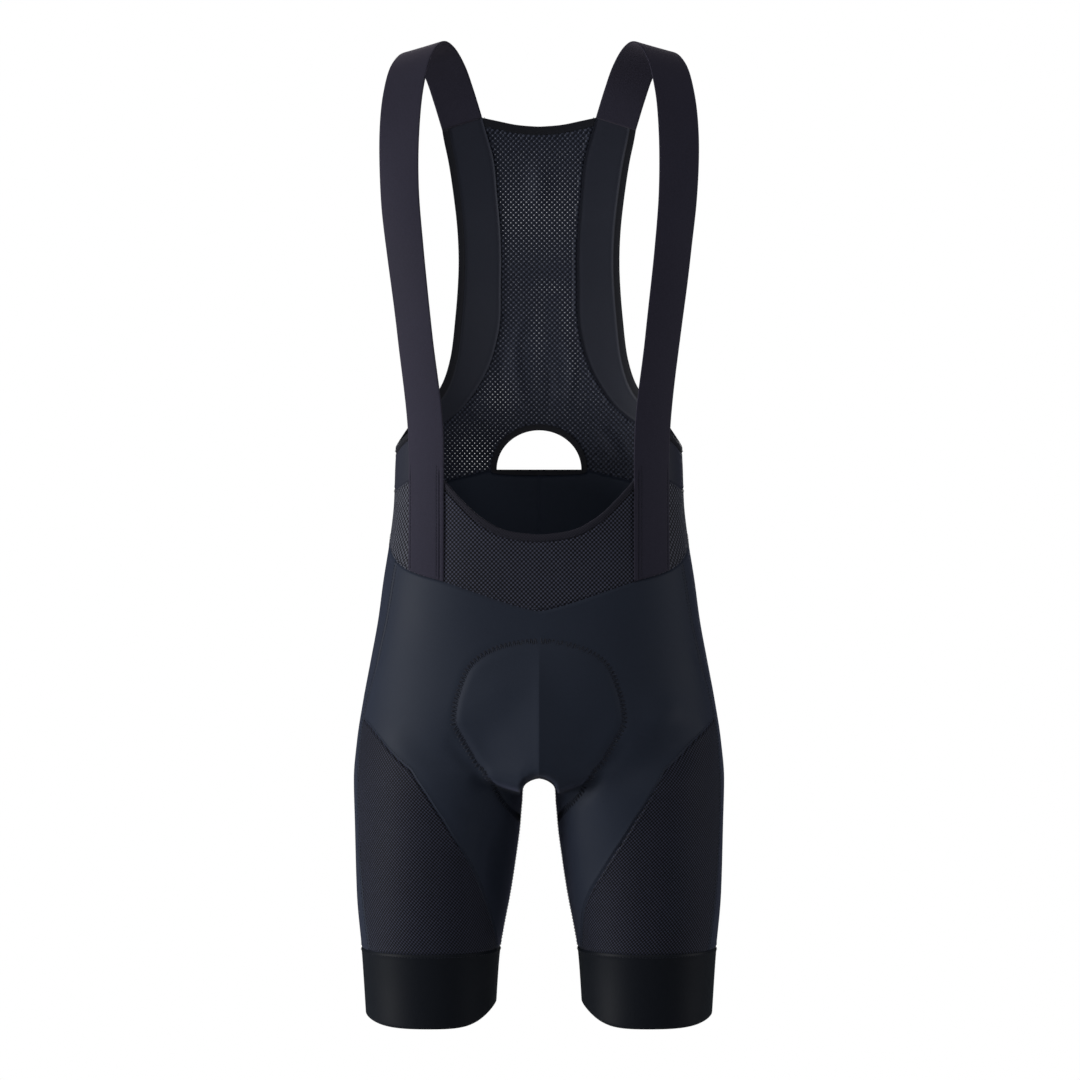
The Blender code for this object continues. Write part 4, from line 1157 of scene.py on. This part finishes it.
cuffRing = ring(0, 180, cuffSeam + stitch["underCuffSeam"])
threadPiece("cuff_stitches",
            [running(*rowOf(cuffRing, side, lift=onThick)) for side in (1, -1)])

armholeRow = lambda share: fromArmhole(share, onEdge)
edges = ((armholeRow, 1), (armholeRow, -1), (lowered(scoop, onEdge), 1),
         (lowered(overTheBack(seam(neckRows)), onEdge), 1))
threadPiece("binding_stitches",
            [running(*rowOf(line, side, lift=onThick)) for line, side in edges])

threadPiece("pad_stitches", [zigzag(*rowOf(part(padRim[name], *padStitch["span"]), side))
                                            for name in innerEdges for side in (1, -1)], padStitch)

rows = []
for side in (1, -1):
    flip = mirror(side)
    for across, depth in strap["stitchRows"]:
        along = np.linspace(0.004, strap["sewn"], 120)
        at = int(round((across + 0.5) * (strap["columns"] - 1)))
        path = readAt(along, strapAlong[:, 0], strapOuter[:, at])
        ups = readAt(along, strapAlong[:, 0], strapNormals[:, strap["columns"] // 2])
        rows.append(((path + ups * (stitch["lift"] - depth)) * flip, ups * flip))
threadPiece("strap_stitches", [running(*row) for row in rows])
print("stitches ready")

# Camera, light and floor
view = {"middle": (0.94, 466), "distance": 3200, "pixel": 0.94, "imageWidth": 1080, "sensor": 36}
camera = bpy.data.objects.new("camera", bpy.data.cameras.new("camera"))
camera.location = (view["middle"][0] * mm, -view["distance"] * mm, (rest - view["middle"][1]) * mm)
camera.rotation_euler = (math.pi / 2, 0, 0)
camera.data.sensor_width = view["sensor"]
camera.data.lens = view["sensor"] * view["distance"] / (view["imageWidth"] * view["pixel"])
bpy.context.scene.collection.objects.link(camera)
bpy.context.scene.camera = camera

# each light: its place, the height that it aims at, size, power and tint
studio = {
    "key": ((-3.0, -0.95, -0.4), -0.45, 1.4, 99, (1, 0.99, 0.98)),
    "high": ((-2.0, -2.4, 1.5), -0.45, 1.4, 22, (1, 1, 1)),
    "fill": ((0.5, -3.2, 1.4), -0.4, 2.2, 31, (0.97, 0.98, 1)),
    "right": ((3.0, -0.4, -0.3), -0.45, 1.6, 29, (0.98, 0.98, 1)),
    "back": ((0.3, 3.0, 0.8), -0.4, 2.0, 30, (1, 1, 1)),
}
for name, (at, aim, size, power, tint) in studio.items():
    lamp = bpy.data.lights.new(name, "AREA")
    lamp.size = size
    lamp.energy = power
    lamp.color = tint
    holder = bpy.data.objects.new(name, lamp)
    holder.location = at
    holder.rotation_euler = (Vector((0, 0, aim)) - Vector(at)).to_track_quat("-Z", "Y").to_euler()
    bpy.context.scene.collection.objects.link(holder)

world = bpy.data.worlds.new("studio")
bpy.context.scene.world = world
world.use_nodes = True
world.node_tree.nodes.clear()
sky = Wire(world.node_tree)
seen = sky.node("LightPath")  # white behind the garment, with little light from it
shade = sky.node("Background", links={"Color": (1, 1, 1, 1), "Strength": 0.006 + seen * 0.994})
sky.node("OutputWorld", links={"Surface": shade})

paper = bpy.data.materials.new("floor")
paper.use_nodes = True
surface = paper.node_tree.nodes["Principled BSDF"].inputs
surface["Base Color"].default_value = (0.6, 0.6, 0.6, 1)
surface["Roughness"].default_value = 0.9
bpy.ops.mesh.primitive_circle_add(vertices=64, radius=1.4, fill_type="NGON", location=(0, 0, -1.32))
floor = bpy.context.object
floor.name = "floor"
floor.data.materials.append(paper)
bpy.context.scene.view_settings.view_transform = "Standard"
print("studio ready")
